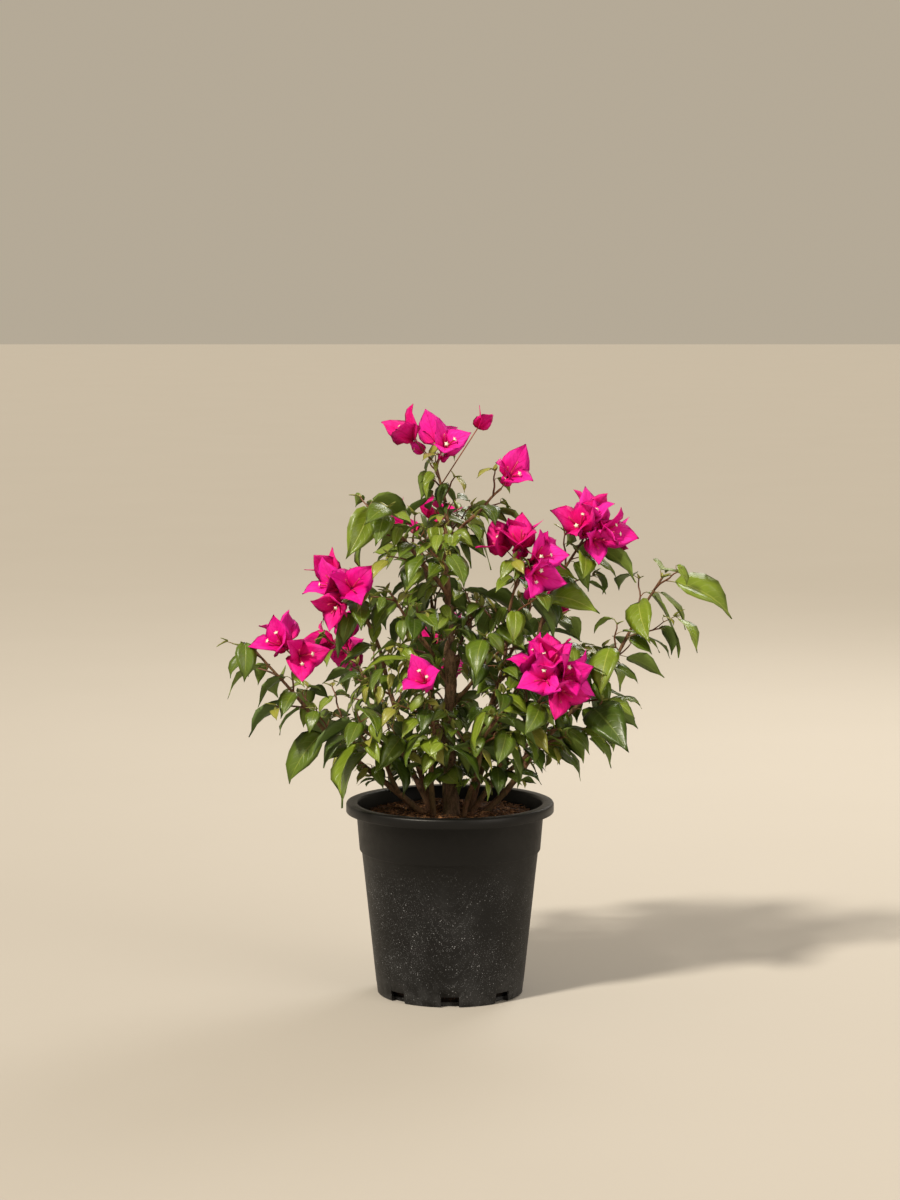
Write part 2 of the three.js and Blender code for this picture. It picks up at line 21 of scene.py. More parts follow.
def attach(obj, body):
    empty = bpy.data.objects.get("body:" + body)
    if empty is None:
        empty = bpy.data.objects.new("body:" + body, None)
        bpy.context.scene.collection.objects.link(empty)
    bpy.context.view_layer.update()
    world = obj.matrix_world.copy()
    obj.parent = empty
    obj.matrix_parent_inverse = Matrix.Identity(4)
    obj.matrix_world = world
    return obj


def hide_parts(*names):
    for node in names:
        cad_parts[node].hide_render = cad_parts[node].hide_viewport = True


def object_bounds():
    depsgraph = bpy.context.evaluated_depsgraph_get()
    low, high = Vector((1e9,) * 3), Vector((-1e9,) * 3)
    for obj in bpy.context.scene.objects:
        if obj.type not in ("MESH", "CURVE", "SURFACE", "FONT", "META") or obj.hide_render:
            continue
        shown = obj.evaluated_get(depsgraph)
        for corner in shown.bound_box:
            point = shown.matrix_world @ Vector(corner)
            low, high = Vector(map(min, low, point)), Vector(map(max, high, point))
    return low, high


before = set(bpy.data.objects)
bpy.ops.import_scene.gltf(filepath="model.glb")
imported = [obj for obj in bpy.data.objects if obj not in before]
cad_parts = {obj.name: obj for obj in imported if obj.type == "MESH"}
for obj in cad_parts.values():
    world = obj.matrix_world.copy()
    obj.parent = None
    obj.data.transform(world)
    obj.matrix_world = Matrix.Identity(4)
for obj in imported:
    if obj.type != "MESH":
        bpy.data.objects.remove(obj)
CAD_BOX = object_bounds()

LOG = logging.getLogger("shrub")
MM = 0.001
UP = Vector((0.0, 0.0, 1.0))
SIDE_REFERENCE = Vector((0.31, 0.93, 0.2)).normalized()
GOLDEN_ANGLE = 137.508
FULL_TURN = 6.28
KINK_TURNS = (9, 11)
SEED = 4711
FINE_SEED = 90210
GAP = 0.3
LIMB_GAP = 1.2 * GAP
REACH_SLACK = 8.0

Draw = Callable[[], float]
Colour = tuple[float, float, float]
Faces = list[tuple[int, ...]]
BOX_FACES: Faces = [(0, 1, 3, 2), (4, 6, 7, 5), (0, 4, 5, 1), (2, 3, 7, 6), (0, 2, 6, 4),
                    (1, 5, 7, 3)]


# Numbers and vectors

def seeded(seed: int) -> Draw:
    """A seeded source of numbers from 0 to 1, the same one that the part's solids grow by.

    Args:
        seed: Any whole number.

    Returns:
        A function that gives the next number each time it is called.
    """
    state = seed
    mask = 0xFFFFFFFF

    def draw() -> float:
        """The next number.

        Returns:
            A number from 0 to 1.
        """
        nonlocal state
        state = (state + 0x6D2B79F5) & mask
        mixed = ((state ^ (state >> 15)) * (1 | state)) & mask
        mixed = ((mixed + (((mixed ^ (mixed >> 7)) * (61 | mixed)) & mask)) & mask) ^ mixed
        return (mixed ^ (mixed >> 14)) / 4294967296

    return draw


class Stream(Enum):
    """What a stream of seeded numbers is for, and where its seeds start."""

    LITTER = 0
    TUFTS = 7
    FLORETS = 11
    FLOWERS = 50
    FILLERS = 120
    LEAVES = 200
    FINE_TWIGS = 500
    SHOOTS = 900

    def draw(self, index: int = 0) -> Draw:
        """The stream of one spray or limb."""
        return seeded(FINE_SEED + self.value + index)


@dataclass(frozen=True)
class Span:
    """A range from one number to another."""

    low: float
    high: float

    def at(self, share: float) -> float:
        """The number at a share of the way from low to high."""
        return self.low + (self.high - self.low) * share

    def share(self, value: float) -> float:
        """The share of the way from low to high where a number lies."""
        return (value - self.low) / (self.high - self.low)


def polar(heading: float, reach: float, height: float) -> Vector:
    """The point at a heading and a reach from the pot's axis, and a height."""
    angle = math.radians(heading)
    return Vector((reach * math.cos(angle), reach * math.sin(angle), height))


def outward(point: Vector) -> Vector:
    """The level direction from the pot's axis to a point."""
    return Vector((point.x, point.y, 0.0)).normalized()


def around(axis: Vector, degrees: float) -> Vector:
    """The unit vector square to an axis, at an angle round it.

    Args:
        axis: A unit vector.
        degrees: The angle.

    Returns:
        The vector.
    """
    across = axis.cross(SIDE_REFERENCE).normalized()
    over = axis.cross(across)
    return across * math.cos(math.radians(degrees)) + over * math.sin(math.radians(degrees))


def tilted(axis: Vector, out: Vector, degrees: float) -> Vector:
    """An axis leaned over towards out by an angle."""
    return axis * math.cos(math.radians(degrees)) + out * math.sin(math.radians(degrees))


# Axes of stems and twigs

class Axis:
    """A curve through the air with a radius along it."""

    def point(self, t: float) -> Vector:
        """The point at a share of the way along."""
        raise NotImplementedError

    def radius(self, t: float) -> float:
        """The radius at a share of the way along."""
        raise NotImplementedError

    def tangent(self, t: float) -> Vector:
        """The direction at a share of the way along."""
        low, high = max(t - 1e-4, 0.0), min(t + 1e-4, 1.0)
        return (self.point(high) - self.point(low)).normalized()

    def length(self) -> float:
        """The length along the curve."""
        points = [self.point(k / 200) for k in range(201)]
        return sum((b - a).length for a, b in zip(points, points[1:]))


@dataclass
class Stem(Axis):
    """A bow through foot, knee and tip, with a slow kink and a straight taper."""

    foot: Vector
    knee: Vector
    tip: Vector
    foot_radius: float
    tip_radius: float
    kink: float = 0.0
    phase: float = 0.0

    def point(self, t: float) -> Vector:
        """The point on the bow, swung aside by the kink.

        Args:
            t: Share of the way along.

        Returns:
            The point.
        """
        bow = self.foot * (1 - t) ** 2 + self.knee * (2 * t * (1 - t)) + self.tip * t * t
        swing = self.kink * (self.tip - self.foot).length * math.sin(math.pi * t)
        bow.x += swing * math.sin(KINK_TURNS[0] * t + self.phase)
        bow.y += swing * math.cos(KINK_TURNS[1] * t + self.phase)
        return bow

    def radius(self, t: float) -> float:
        """The radius at a share of the way along."""
        return self.foot_radius + (self.tip_radius - self.foot_radius) * t


@dataclass
class FlaredStem(Stem):
    """A stem that spreads out at its foot."""

    flare: float = 0.0
    flare_height: float = 1.0

    def radius(self, t: float) -> float:
        """The radius at a share of the way along."""
        height = t * (self.tip - self.foot).length
        return super().radius(t) + self.flare * math.exp(-height / self.flare_height)


@dataclass
class Section(Axis):
    """The part of a stem between two shares of its length."""

    stem: Axis
    start: float
    end: float

    def _share(self, t: float) -> float:
        """The share of the whole stem."""
        return self.start + (self.end - self.start) * t

    def point(self, t: float) -> Vector:
        """The point at a share of the way along."""
        return self.stem.point(self._share(t))

    def radius(self, t: float) -> float:
        """The radius at a share of the way along."""
        return self.stem.radius(self._share(t))


def rings(axis: Axis, sides: int, steps: int, extra: float = 0.0) -> np.ndarray:
    """Rings of points round an axis, carried along it without twist.

    Args:
        axis: The curve and its radius.
        sides: Points in a ring.
        steps: Stretches between rings.
        extra: What the radius is larger by.

    Returns:
        An array of steps + 1 rings by sides points by 3.
    """
    across = around(axis.tangent(0.0), 0.0)
    turns = [2 * math.pi * k / sides for k in range(sides)]
    out = []
    for step in range(steps + 1):
        t = step / steps
        along = axis.tangent(t)
        across = (across - along * across.dot(along)).normalized()
        over = along.cross(across)
        centre, radius = axis.point(t), axis.radius(t) + extra
        out.append([centre + (across * math.cos(a) + over * math.sin(a)) * radius for a in turns])
    return np.array(out)


def centre_line(axis: Axis, steps: int, t: float) -> Vector:
    """The point at a share of the way along a tube of straight steps, on its centre line."""
    step = min(int(t * steps), steps - 1)
    return axis.point(step / steps).lerp(axis.point((step + 1) / steps), t * steps - step)


def tube_faces(sides: int, steps: int) -> Faces:
    """The faces of a closed tube made of rings.

    Args:
        sides: Points in a ring.
        steps: Stretches between rings.

    Returns:
        The faces, with one cap at each end.
    """
    faces: Faces = []
    for step in range(steps):
        low, high = step * sides, (step + 1) * sides
        for k in range(sides):
            after = (k + 1) % sides
            faces.append((low + k, low + after, high + after, high + k))
    faces.append(tuple(reversed(range(sides))))
    faces.append(tuple(range(steps * sides, (steps + 1) * sides)))
    return faces


def tube(axis: Axis, sides: int, steps: int, extra: float) -> tuple[np.ndarray, Faces]:
    """The corners and faces of a closed tube round an axis, wider by extra."""
    return rings(axis, sides, steps, extra).reshape(-1, 3), tube_faces(sides, steps)


# The plan of the plant, the same as in the part's source

@dataclass(frozen=True)
class StemPlan:
    """One stem: its bare lower share is a bough, and its spray grows along the rest."""

    name: str
    tip: tuple[float, float, float]
    twigs: int
    spread: float
    turn: float
    blooms: int = 0
    bloom_twig: int = 0
    stalk: float = 24.0
    radius: float = 2.5
    bow: float = 0.0
    bare: float = 0.0
    foot: tuple[float, float] = (0.0, 0.0)
    on: str = ""
    at: float = 0.0
    leaf: float = 1.0
    toward: float | None = None
    facing: float = 0.75

    def out(self) -> Vector:
        """How its clusters of flowers lean over."""
        return polar(self.tip[0] if self.toward is None else self.toward, self.facing, 0)


STEMS = (
    StemPlan("left_low", (189, 262, 470), 6, 58, 140, 0, 4, radius=4.8, bow=-14, bare=0.5,
             foot=(190, 32), leaf=1.1, toward=262),
    StemPlan("left_mid", (192, 136, 544), 5, 56, 10, 4, radius=4.6, bow=30, bare=0.38,
             foot=(160, 28), toward=250),
    StemPlan("left_high", (198, 112, 650), 5, 50, 75, radius=3.4, bow=12, bare=0.2,
             on="leader", at=0.1),
    StemPlan("front_left", (257, 116, 424), 5, 60, 130, 1, radius=4.2, bow=24, bare=0.34,
             foot=(232, 36), toward=262),
    StemPlan("left_skirt", (216, 150, 366), 4, 50, 200, radius=3.4, bow=12, bare=0.2,
             on="left_low", at=0.35, leaf=1.25),
    StemPlan("front_right", (300, 128, 392), 4, 54, 20, radius=3.8, bow=22, bare=0.34,
             foot=(296, 40)),
    StemPlan("right_low", (328, 154, 434), 5, 62, 60, 7, radius=4.2, bare=0.4,
             foot=(326, 30), toward=275),
    StemPlan("right_skirt", (350, 198, 368), 4, 54, 310, radius=3.4, bow=14, bare=0.25,
             on="right_low", at=0.55, leaf=1.3),
    StemPlan("right_far", (359, 284, 564), 7, 70, 0, radius=4.8, bow=-22, bare=0.42,
             foot=(6, 42), leaf=1.25),
    StemPlan("right_mid", (337, 103, 582), 6, 58, 95, 7, radius=4.4, bow=12, bare=0.42,
             foot=(354, 25), toward=275),
    StemPlan("right_high", (7, 182, 616), 6, 60, 150, 5, radius=4.4, bow=26, bare=0.42,
             foot=(36, 32), toward=300),
    StemPlan("right_back", (32, 228, 440), 4, 60, 45, radius=3.6, bow=12, bare=0.25,
             on="right_far", at=0.45),
    StemPlan("back_right", (55, 196, 506), 6, 66, 5, 3, radius=4.8, bow=20, bare=0.4,
             foot=(58, 42)),
    StemPlan("back_mid", (92, 206, 430), 6, 68, 80, 3, radius=4.6, bow=12, bare=0.36,
             foot=(88, 46)),
    StemPlan("back_high", (112, 108, 607), 6, 66, 220, 2, radius=4.6, bow=24, bare=0.42,
             foot=(100, 30)),
    StemPlan("back_left", (136, 194, 446), 5, 64, 260, 3, radius=4.6, bow=14, bare=0.38,
             foot=(130, 40)),
    StemPlan("left_back", (152, 180, 366), 4, 58, 175, radius=3.4, bow=10, bare=0.2,
             on="back_left", at=0.45),
    StemPlan("inner_left", (210, 92, 548), 4, 54, 15, radius=3.2, bow=4, bare=0.2,
             on="main_stem", at=0.6, leaf=0.75),
    StemPlan("inner_right", (330, 88, 480), 3, 50, 300, radius=3.2, bow=4, bare=0.2,
             on="main_stem", at=0.5, leaf=0.75),
    StemPlan("inner_back", (66, 92, 524), 3, 60, 120, radius=3.2, bow=4, bare=0.2,
             on="main_stem", at=0.62),
    StemPlan("upper_left", (258, 70, 612), 3, 44, 330, radius=2.8, bow=3, bare=0.2,
             on="leader", at=0.25, leaf=0.8),
    StemPlan("upper_right", (340, 72, 684), 3, 42, 100, 1, radius=2.6, bow=3, bare=0.2,
             on="leader", at=0.5, leaf=0.85, toward=285),
    StemPlan("upper_back", (84, 64, 640), 3, 48, 50, radius=2.8, bow=3, bare=0.2,
             on="leader", at=0.4, leaf=0.85),
)
TOP = StemPlan("top", (210, 22, 716), 4, 36, 190, 3, stalk=42, leaf=0.75, toward=262, facing=0.3)
LEADER_TIP = (236, 11, 664)
MIX_HEIGHT = 245.0

# Boxes in front of the main stem: sprays keep out of the first, and finer growth out of the second

CLEARING = ((-9, -190, 404), (21, -30, 544))
BARE = ((-11, -190, 402), (23, -24, 454))

# Twigs: sizes in millimetres, angles in degrees, and shares of their length

TWIG_ANGLE = 52.0
TWIG_RADIUS = 1.5
TWIG_SPREAD = Span(1.1, 0.7)
TWIG_CHANCE = Span(0.8, 1.2)
TAPER = 0.6
TWIG_KINK = 0.03
TWIG_OUTWARD = 0.22
TWIG_RISE = 0.1
TWIG_KNEE = 0.55
TWIG_ARCH = 0.08
TWIG_LIFT = 0.04
BOUGH_KINK = 0.018
LEADER_STEPS = 4
TWIG_STEPS = 1

# Leaves: their stalk leans along the twig, out from it and up

LEAF_STEP = 24.0
LEAF_LENGTH = 76.0
LEAF_SIZE = Span(0.46, 1.16)
LEADER_LEAF = 0.9
TWIG_LEAF = Span(1.05, 0.7)
LEAF_WIDTH = 0.52
LEAF_TURNS = (0, 70, -70)
LEAF_THICKNESS = 0.03
LEAF_PITCH = Span(-10, 46)
LEAF_ROLL = 76.0
LEAF_BEND = Span(34, 68)
LEAF_FOLD = Span(14, 28)
LEAF_OUTWARD = 0.3
PETIOLE = 11.0
PETIOLE_LEAN = (0.5, 0.85, 0.2)

# Flowers: a dome of them opens round the end of a twig

TWIG_BLOOMS = 3
DOME = 66.0
LONE_TILT = 12.0
CLUSTER_RISE = 0.3
FLOWER_REACH = Span(0.8, 1.3)
FLOWER_OPENING = Span(34, 48)
BRACT_LENGTH = 47.0
BRACT_SIZE = Span(0.92, 1.08)
BRACT_STRETCH = 1.02
BRACT_WIDTH = 0.86
BRACT_NOTCH = 0.66
BRACT_OVERLAP = 12.0
BRACT_CUP = 12.0
BRACT_BEND = 26.0
BRACT_FOLD = 24.0


class Tint(Enum):
    """The greens and pinks that leaves and bracts are dealt out in."""

    # The darkest and lightest greens are dealt out by place in the crown, partly as painted shade
    # inside it and painted light outside it.
    DEEP = "deep"
    GREEN = "green"
    BRIGHT = "bright"
    YOUNG = "young"
    MAGENTA = "magenta"
    ROSE = "rose"
    CRIMSON = "crimson"


@dataclass
class Blade:
    """A leaf or bract: it leaves its foot along axis, and bends away from its face to its tip.

    Its stalk starts at base, and the solid that stands for it at root.
    """

    base: Vector
    root: Vector
    foot: Vector
    axis: Vector
    face: Vector
    length: float
    width: float
    bend: float
    fold: float
    tint: Tint = Tint.GREEN
    sweep: float = 0.0
    wave: float = 0.0

    def at(self, share: float, aside: float, lift: float = 0.0) -> Vector:
        """The point at a share of the length, to the side by a share of the width.

        Args:
            share: 0 at the foot and 1 at the tip.
            aside: Share of the width, -0.5 to 0.5.
            lift: Height over the blade.

        Returns:
            The point.
        """
        turned = self.bend * share
        out = self.width * abs(aside)
        normal = self.face * math.cos(turned) + self.axis * math.sin(turned)
        side = self.axis.cross(self.face) * math.copysign(out * math.cos(self.fold), aside)
        forward = self.axis * (self.length * math.sin(turned) / self.bend)
        down = self.face * (self.length * (1 - math.cos(turned)) / self.bend)
        return self.foot + forward - down + normal * (lift + out * math.sin(self.fold)) + side

    def solid(self, thickness: float) -> tuple[list[Vector], Faces]:
        """The plain kite that stands for the blade where it must keep clear of others.

        Args:
            thickness: How thick it is along its middle.

        Returns:
            Its corners and faces.
        """
        sink = -thickness / 2
        points = [self.root, self.at(0.4, 0.5, sink), self.at(1, 0), self.at(0.4, -0.5, sink),
                  self.at(0.45, 0, thickness)]
        faces: Faces = [(4, 0, 1), (4, 1, 2), (4, 2, 3), (4, 3, 0), (0, 2, 1), (0, 3, 2)]
        return points, faces


@dataclass
class Flower:
    """Three bracts round the end of a stalk, and the rim and centre of their plain cup."""

    stalk: Stem
    centre: Vector
    bracts: list[Blade]
    rim: list[Vector]


def leaf_at(root: Vector, base: Vector, along: Vector, heading: float, size: float,
            look: Sequence[float]) -> Blade:
    """A leaf at a point of a twig, held out by its stalk, with its blade hanging outwards.

    Args:
        root: The point on the centre line of the twig's plain solid.
        base: The point on the twig's axis.
        along: The twig's direction there.
        heading: Angle round the twig.
        size: 1 is a full leaf.
        look: Five numbers from 0 to 1: drop, lean, large, curl and cup.

    Returns:
        The leaf.
    """
    drop, lean, large, curl, cup = look
    ahead, aside, rise = PETIOLE_LEAN
    stalk = (along * ahead + around(along, heading) * aside + UP * rise).normalized()
    level = stalk + outward(base) * LEAF_OUTWARD
    level.z = 0.0
    level.normalize()
    pitch = LEAF_PITCH.at(drop)
    axis = tilted(level, -UP, pitch)
    flat = tilted(UP, level, pitch)
    face = tilted(flat, axis.cross(flat), LEAF_ROLL * (lean - 0.5))
    length = size * LEAF_LENGTH * LEAF_SIZE.at(large ** 2)
    bend, fold = math.radians(LEAF_BEND.at(curl)), math.radians(LEAF_FOLD.at(cup))
    return Blade(base, root, base + stalk * PETIOLE * size, axis, face, length,
                 length * LEAF_WIDTH, bend, fold)


def leaf_tries(root: Vector, base: Vector, along: Vector, heading: float, size: float,
               look: Sequence[float]) -> list[Blade]:
    """One leaf turned to each of its headings, the one to try first in front."""
    return [leaf_at(root, base, along, heading + turn, size, look) for turn in LEAF_TURNS]


def flower_at(base: Vector, facing: Vector, reach: float, draw: Draw, size: float,
              width: float) -> Flower:
    """A flower: a stalk that carries three bracts side by side in a cup.

    Args:
        base: Where the stalk starts.
        facing: The way the cup opens.
        reach: The stalk's length.
        draw: Seeded numbers.
        size: 1 is a full flower.
        width: 1 is an open cup, and less is a bud.

    Returns:
        The flower.
    """
    centre = base + facing * reach
    opened = width * FLOWER_OPENING.at(draw())
    cupped = opened - BRACT_CUP * width
    turn = 120 * draw()
    rim: list[Vector] = []
    bracts: list[Blade] = []
    for angle in (0, 120, 240):
        length = size * BRACT_LENGTH * BRACT_SIZE.at(draw())
        for aside, share in ((0, 1), (60, BRACT_NOTCH)):
            out = around(facing, angle + turn + aside)
            rim.append(centre + tilted(facing, out, opened) * length * share)
        out = around(facing, angle + turn)
        axis = tilted(facing, out, cupped)
        inside = tilted(-out, facing, cupped)
        face = tilted(inside, axis.cross(inside), BRACT_OVERLAP)
        bracts.append(Blade(centre, centre, centre - axis, axis, face, length * BRACT_STRETCH,
                            length * BRACT_WIDTH, math.radians(BRACT_BEND),
                            math.radians(BRACT_FOLD)))
    stem = Stem(base, (base + centre) / 2, centre, foot_radius=0.9, tip_radius=0.8)
    return Flower(stem, centre, bracts, rim)


def cluster(twig: Axis, count: int, stalk: float, out: Vector, draw: Draw,
            size: float = 1.0, width: float = 1.0) -> list[Flower]:
    """The flowers of one cluster, spread over a dome round the twig's end.

    Args:
        twig: The twig that carries them.
        count: How many.
        stalk: The usual length of a stalk.
        out: How the dome leans over.
        draw: Seeded numbers.
        size: 1 is a full flower.
        width: 1 is an open cup, and less is a bud.

    Returns:
        The flowers.
    """
    tip = twig.point(1.0)
    along = (twig.tangent(1.0) + UP * CLUSTER_RISE + out).normalized()
    flowers = []
    for k in range(count):
        tilt = LONE_TILT if count == 1 else DOME * math.sqrt((k + 0.5) / count)
        side = around(along, k * GOLDEN_ANGLE + 40 * draw())
        facing = tilted(along, side, tilt).normalized()
        reach = stalk * FLOWER_REACH.at(draw())
        flowers.append(flower_at(tip, facing, reach, draw, size, width))
    return flowers


@dataclass
class Spray:
    """What one stem carries: twigs, their plain cores, leaves to try, and flowers.

    Leaves and flowers have their twig's number beside them, and kept has the numbers of the twigs
    that stay.
    """

    plan: StemPlan
    index: int
    twigs: list[Axis]
    cores: list[Axis]
    leaves: list[tuple[int, list[Blade]]] = field(default_factory=list)
    flowers: list[tuple[int, Flower]] = field(default_factory=list)
    kept: set[int] = field(default_factory=set)


def side_twig(axis: Axis, share: float, heading: float, length: float, radius: float,
              phase: float, angle: float = TWIG_ANGLE) -> Stem:
    """A twig that leaves another at a share of its length.

    Args:
        axis: The twig or stem that carries it.
        share: Where it leaves.
        heading: Angle round the carrier.
        length: Its length.
        radius: Its radius at the foot.
        phase: Where its kink starts.
        angle: How far it leans from the carrier.

    Returns:
        The twig.
    """
    base, direction = axis.point(share), axis.tangent(share)
    lean = tilted(direction, around(direction, heading), angle)
    lean = (lean + outward(base) * TWIG_OUTWARD + UP * TWIG_RISE).normalized()
    bent = base + lean * (length * TWIG_KNEE) + UP * (length * TWIG_ARCH)
    end = base + lean * length + UP * (length * TWIG_LIFT)
    return Stem(base, bent, end, radius, radius * TAPER, TWIG_KINK, phase)


def grow_spray(plan: StemPlan, leader: Axis, index: int) -> Spray:
    """Everything that one spray grows along its leader, in the order of the part's source.

    Args:
        plan: The stem's plan.
        leader: The leafy part of the stem.
        index: The spray's place in the order of making.

    Returns:
        The spray, before anything that would touch its neighbours is left out.
    """
    draw = seeded(SEED + index)
    spray = Spray(plan, index, [leader], [leader])
    for k in range(plan.twigs):
        share = (k + 0.5) / plan.twigs
        length = plan.spread * TWIG_SPREAD.at(share) * TWIG_CHANCE.at(draw())
        heading = plan.turn + k * GOLDEN_ANGLE
        twig = side_twig(leader, share, heading, length, TWIG_RADIUS, draw() * 6)
        foot = centre_line(leader, LEADER_STEPS, share)
        core = Stem(foot, (foot + twig.tip) / 2, twig.tip, twig.foot_radius, twig.tip_radius)
        spray.twigs.append(twig)
        spray.cores.append(core)
    for k, twig in enumerate(spray.twigs):
        count = max(2, math.floor(twig.length() / LEAF_STEP + 0.5))
        turn = 360 * draw()
        blooms = plan.blooms if k == 0 else TWIG_BLOOMS * (k == plan.bloom_twig)
        for j in range(count):
            share = (j + 0.75) / (count + (0.9 if blooms else -0.2))
            size = plan.leaf * (TWIG_LEAF.at(share ** 2) if k else LEADER_LEAF)
            look = [draw() for _ in range(5)]
            point, along = twig.point(share), twig.tangent(share)
            heading = turn + j * GOLDEN_ANGLE
            root = centre_line(spray.cores[k], TWIG_STEPS if k else LEADER_STEPS, share)
            spray.leaves.append((k, leaf_tries(root, point, along, heading, size, look)))
        bunch = cluster(twig, blooms, plan.stalk, plan.out(), draw)
        spray.flowers += [(k, flower) for flower in bunch]
    return spray


# The finer growth, which the solids leave out

@dataclass(frozen=True)
class Growth:
    """How fine shoots grow along one kind of stem: step apart, with leaves of leaf_size or more."""

    step: float
    length: Span
    lean: Span
    radius: float
    first_leaf: float
    leaf_size: float


ON_LEADER = Growth(step=26.0, length=Span(26, 46), lean=Span(44, 62), radius=0.95,
                   first_leaf=0.5, leaf_size=0.46)
ON_TWIG = replace(ON_LEADER, step=24.0, length=Span(18, 38))
ON_LIMB = Growth(step=13.0, length=Span(8, 24), lean=Span(40, 65), radius=0.9,
                 first_leaf=0.45, leaf_size=0.4)
ON_MAIN_STEM = replace(ON_LIMB, step=4.68)


@dataclass(frozen=True)
class Filler:
    """Smaller flowers for each flower of a cluster; a small width makes buds of them."""

    size: float
    width: float
    share: float


SMALL_FLOWERS = Filler(size=0.8, width=1.0, share=1.5)
BUDS = Filler(size=0.46, width=0.3, share=0.6)
LONE_BUD_FROM = 0.45
LONE_BUD_TO = (37, -14, 764)
LONE_BUD_SIZE = 0.66
LONE_BUD_WIDTH = 0.62
CROWDED = 5
FLOWER_GAP = 19.0
LEAF_GROWTH = 0.34
OUTER_GROWTH = 0.1
LEAF_SWEEP = 0.16
BRACT_SWEEP = 0.14
THINNING = 0.92
THIN_REACH = Span(60, 160)
THIN_HEIGHT = Span(520, 640)
BARE_FOOT = 40.0
PETIOLE_RADIUS = 0.35
PETIOLE_SWELL = 0.004
TUFT_TURN = 137
TUFT_LEAN = Span(22, 52)
TUFT_LENGTH = Span(7, 19)
FLORET_LIFT = Span(5.5, 7.5)
OPEN_FLORETS = 0.4
STAR_RADIUS = Span(3.0, 4.0)
STAR_NOTCH = 0.55


@dataclass(frozen=True)
class Greens:
    """How the greens are dealt out: darkest inside the crown, lightest and young ones outside it,
    partly as painted shade and painted light.
    """

    reach: float = 240.0
    middle: float = 420.0
    rise: float = 700.0
    small: float = 34.0
    young_small: float = 0.3
    young_large: float = 0.02
    pull: float = 0.35
    green_from: float = 0.3
    bright_from: float = 0.68

    def tint(self, blade: Blade, chance: float) -> Tint:
        """The tint of one leaf, which is young most often where the leaf is small.

        Args:
            blade: The leaf.
            chance: A number from 0 to 1.

        Returns:
            Its tint.
        """
        foot = blade.foot
        outside = math.hypot(foot.x, foot.y) / self.reach + (foot.z - self.middle) / self.rise
        if chance < (self.young_small if blade.length < self.small else self.young_large):
            return Tint.YOUNG
        # Place in the crown pulls a leaf towards the darkest green inside and the lightest outside:
        # partly painted shade and painted light.
        share = chance + self.pull * (outside - 0.5)
        if share > self.bright_from:
            return Tint.BRIGHT
        return Tint.GREEN if share > self.green_from else Tint.DEEP


@dataclass
class Shoot:
    """A fine twig with three small leaves, before its room is known."""

    growth: Growth
    twig: Stem
    turn: float
    looks: list[list[float]]

    @classmethod
    def drawn(cls, growth: Growth, carrier: Axis, share: float, heading: float,
              draw: Draw) -> "Shoot":
        """Draw a shoot at a share of the length of what carries it.

        Args:
            growth: How shoots grow there.
            carrier: The twig or limb.
            share: Where the shoot leaves.
            heading: Angle round the carrier.
            draw: Seeded numbers.

        Returns:
            The shoot.
        """
        length = growth.length.at(draw())
        phase = 6 * draw()
        lean = growth.lean.at(draw())
        twig = side_twig(carrier, share, heading, length, growth.radius, phase, lean)
        turn = 360 * draw()
        return cls(growth, twig, turn, [[draw() for _ in range(6)] for _ in range(3)])

    def solid(self) -> tuple[np.ndarray, Faces]:
        """The plain tube that stands for the twig where it must keep clear of others."""
        return tube(self.twig, 3, 1, GAP)


def within_reach(point: Vector) -> bool:
    """Whether a point lies in the box of the solids, or within the slack round it.

    Args:
        point: The point, in millimetres.

    Returns:
        True where it does.
    """
    low, high = CAD_BOX
    return all(a / MM - REACH_SLACK < value < b / MM + REACH_SLACK
               for a, value, b in zip(low, point, high))


def box_corners(low: Sequence[float], high: Sequence[float]) -> list[tuple[float, ...]]:
    """The corners of a box, in the order that BOX_FACES reads."""
    return [(x, y, z) for x in (low[0], high[0]) for y in (low[1], high[1])
            for z in (low[2], high[2])]


class Room:
    """What already stands in the crown, so that nothing new grows through it."""

    CAPACITY = 8192

    def __init__(self) -> None:
        """Start with an empty crown."""
        self.lows = np.zeros((self.CAPACITY, 3))
        self.highs = np.zeros((self.CAPACITY, 3))
        self.trees: list[BVHTree] = []
        self.owners: list[object] = []

    def add(self, points: Sequence[Vector], faces: Faces, owner: object) -> None:
        """Let a solid take its place.

        Args:
            points: Its corners.
            faces: Its faces.
            owner: What it belongs to, for later tests to leave out.
        """
        corners = np.array(points)
        count = len(self.trees)
        self.lows[count], self.highs[count] = corners.min(axis=0), corners.max(axis=0)
        self.trees.append(BVHTree.FromPolygons([tuple(p) for p in points], faces))
        self.owners.append(owner)

    def free(self, points: Sequence[Vector], faces: Faces, but: Iterable[object]) -> bool:
        """Whether a solid would touch nothing.

        Args:
            points: Its corners.
            faces: Its faces.
            but: Owners whose solids it may touch.

        Returns:
            True where it is clear.
        """
        corners = np.array(points)
        count = len(self.trees)
        near = np.all((self.lows[:count] <= corners.max(axis=0))
                      & (self.highs[:count] >= corners.min(axis=0)), axis=1)
        tree = BVHTree.FromPolygons([tuple(p) for p in points], faces)
        allowed = set(but)
        return not any(self.trees[k].overlap(tree) for k in np.flatnonzero(near)
                       if self.owners[k] not in allowed)


# Meshes

def added(name: str, data: bpy.types.ID) -> bpy.types.Object:
    """Put something new into the scene.

    Args:
        name: The object's name.
        data: Its mesh, light or camera.

    Returns:
        The object.
    """
    item = bpy.data.objects.new(name, data)
    bpy.context.scene.collection.objects.link(item)
    return item


def mesh_of(name: str, bm: bmesh.types.BMesh) -> bpy.types.Mesh:
    """Turn a finished bmesh into a mesh.

    Args:
        name: The mesh's name.
        bm: The bmesh, which is freed.

    Returns:
        The mesh.
    """
    mesh = bpy.data.meshes.new(name)
    bm.to_mesh(mesh)
    bm.free()
    return mesh


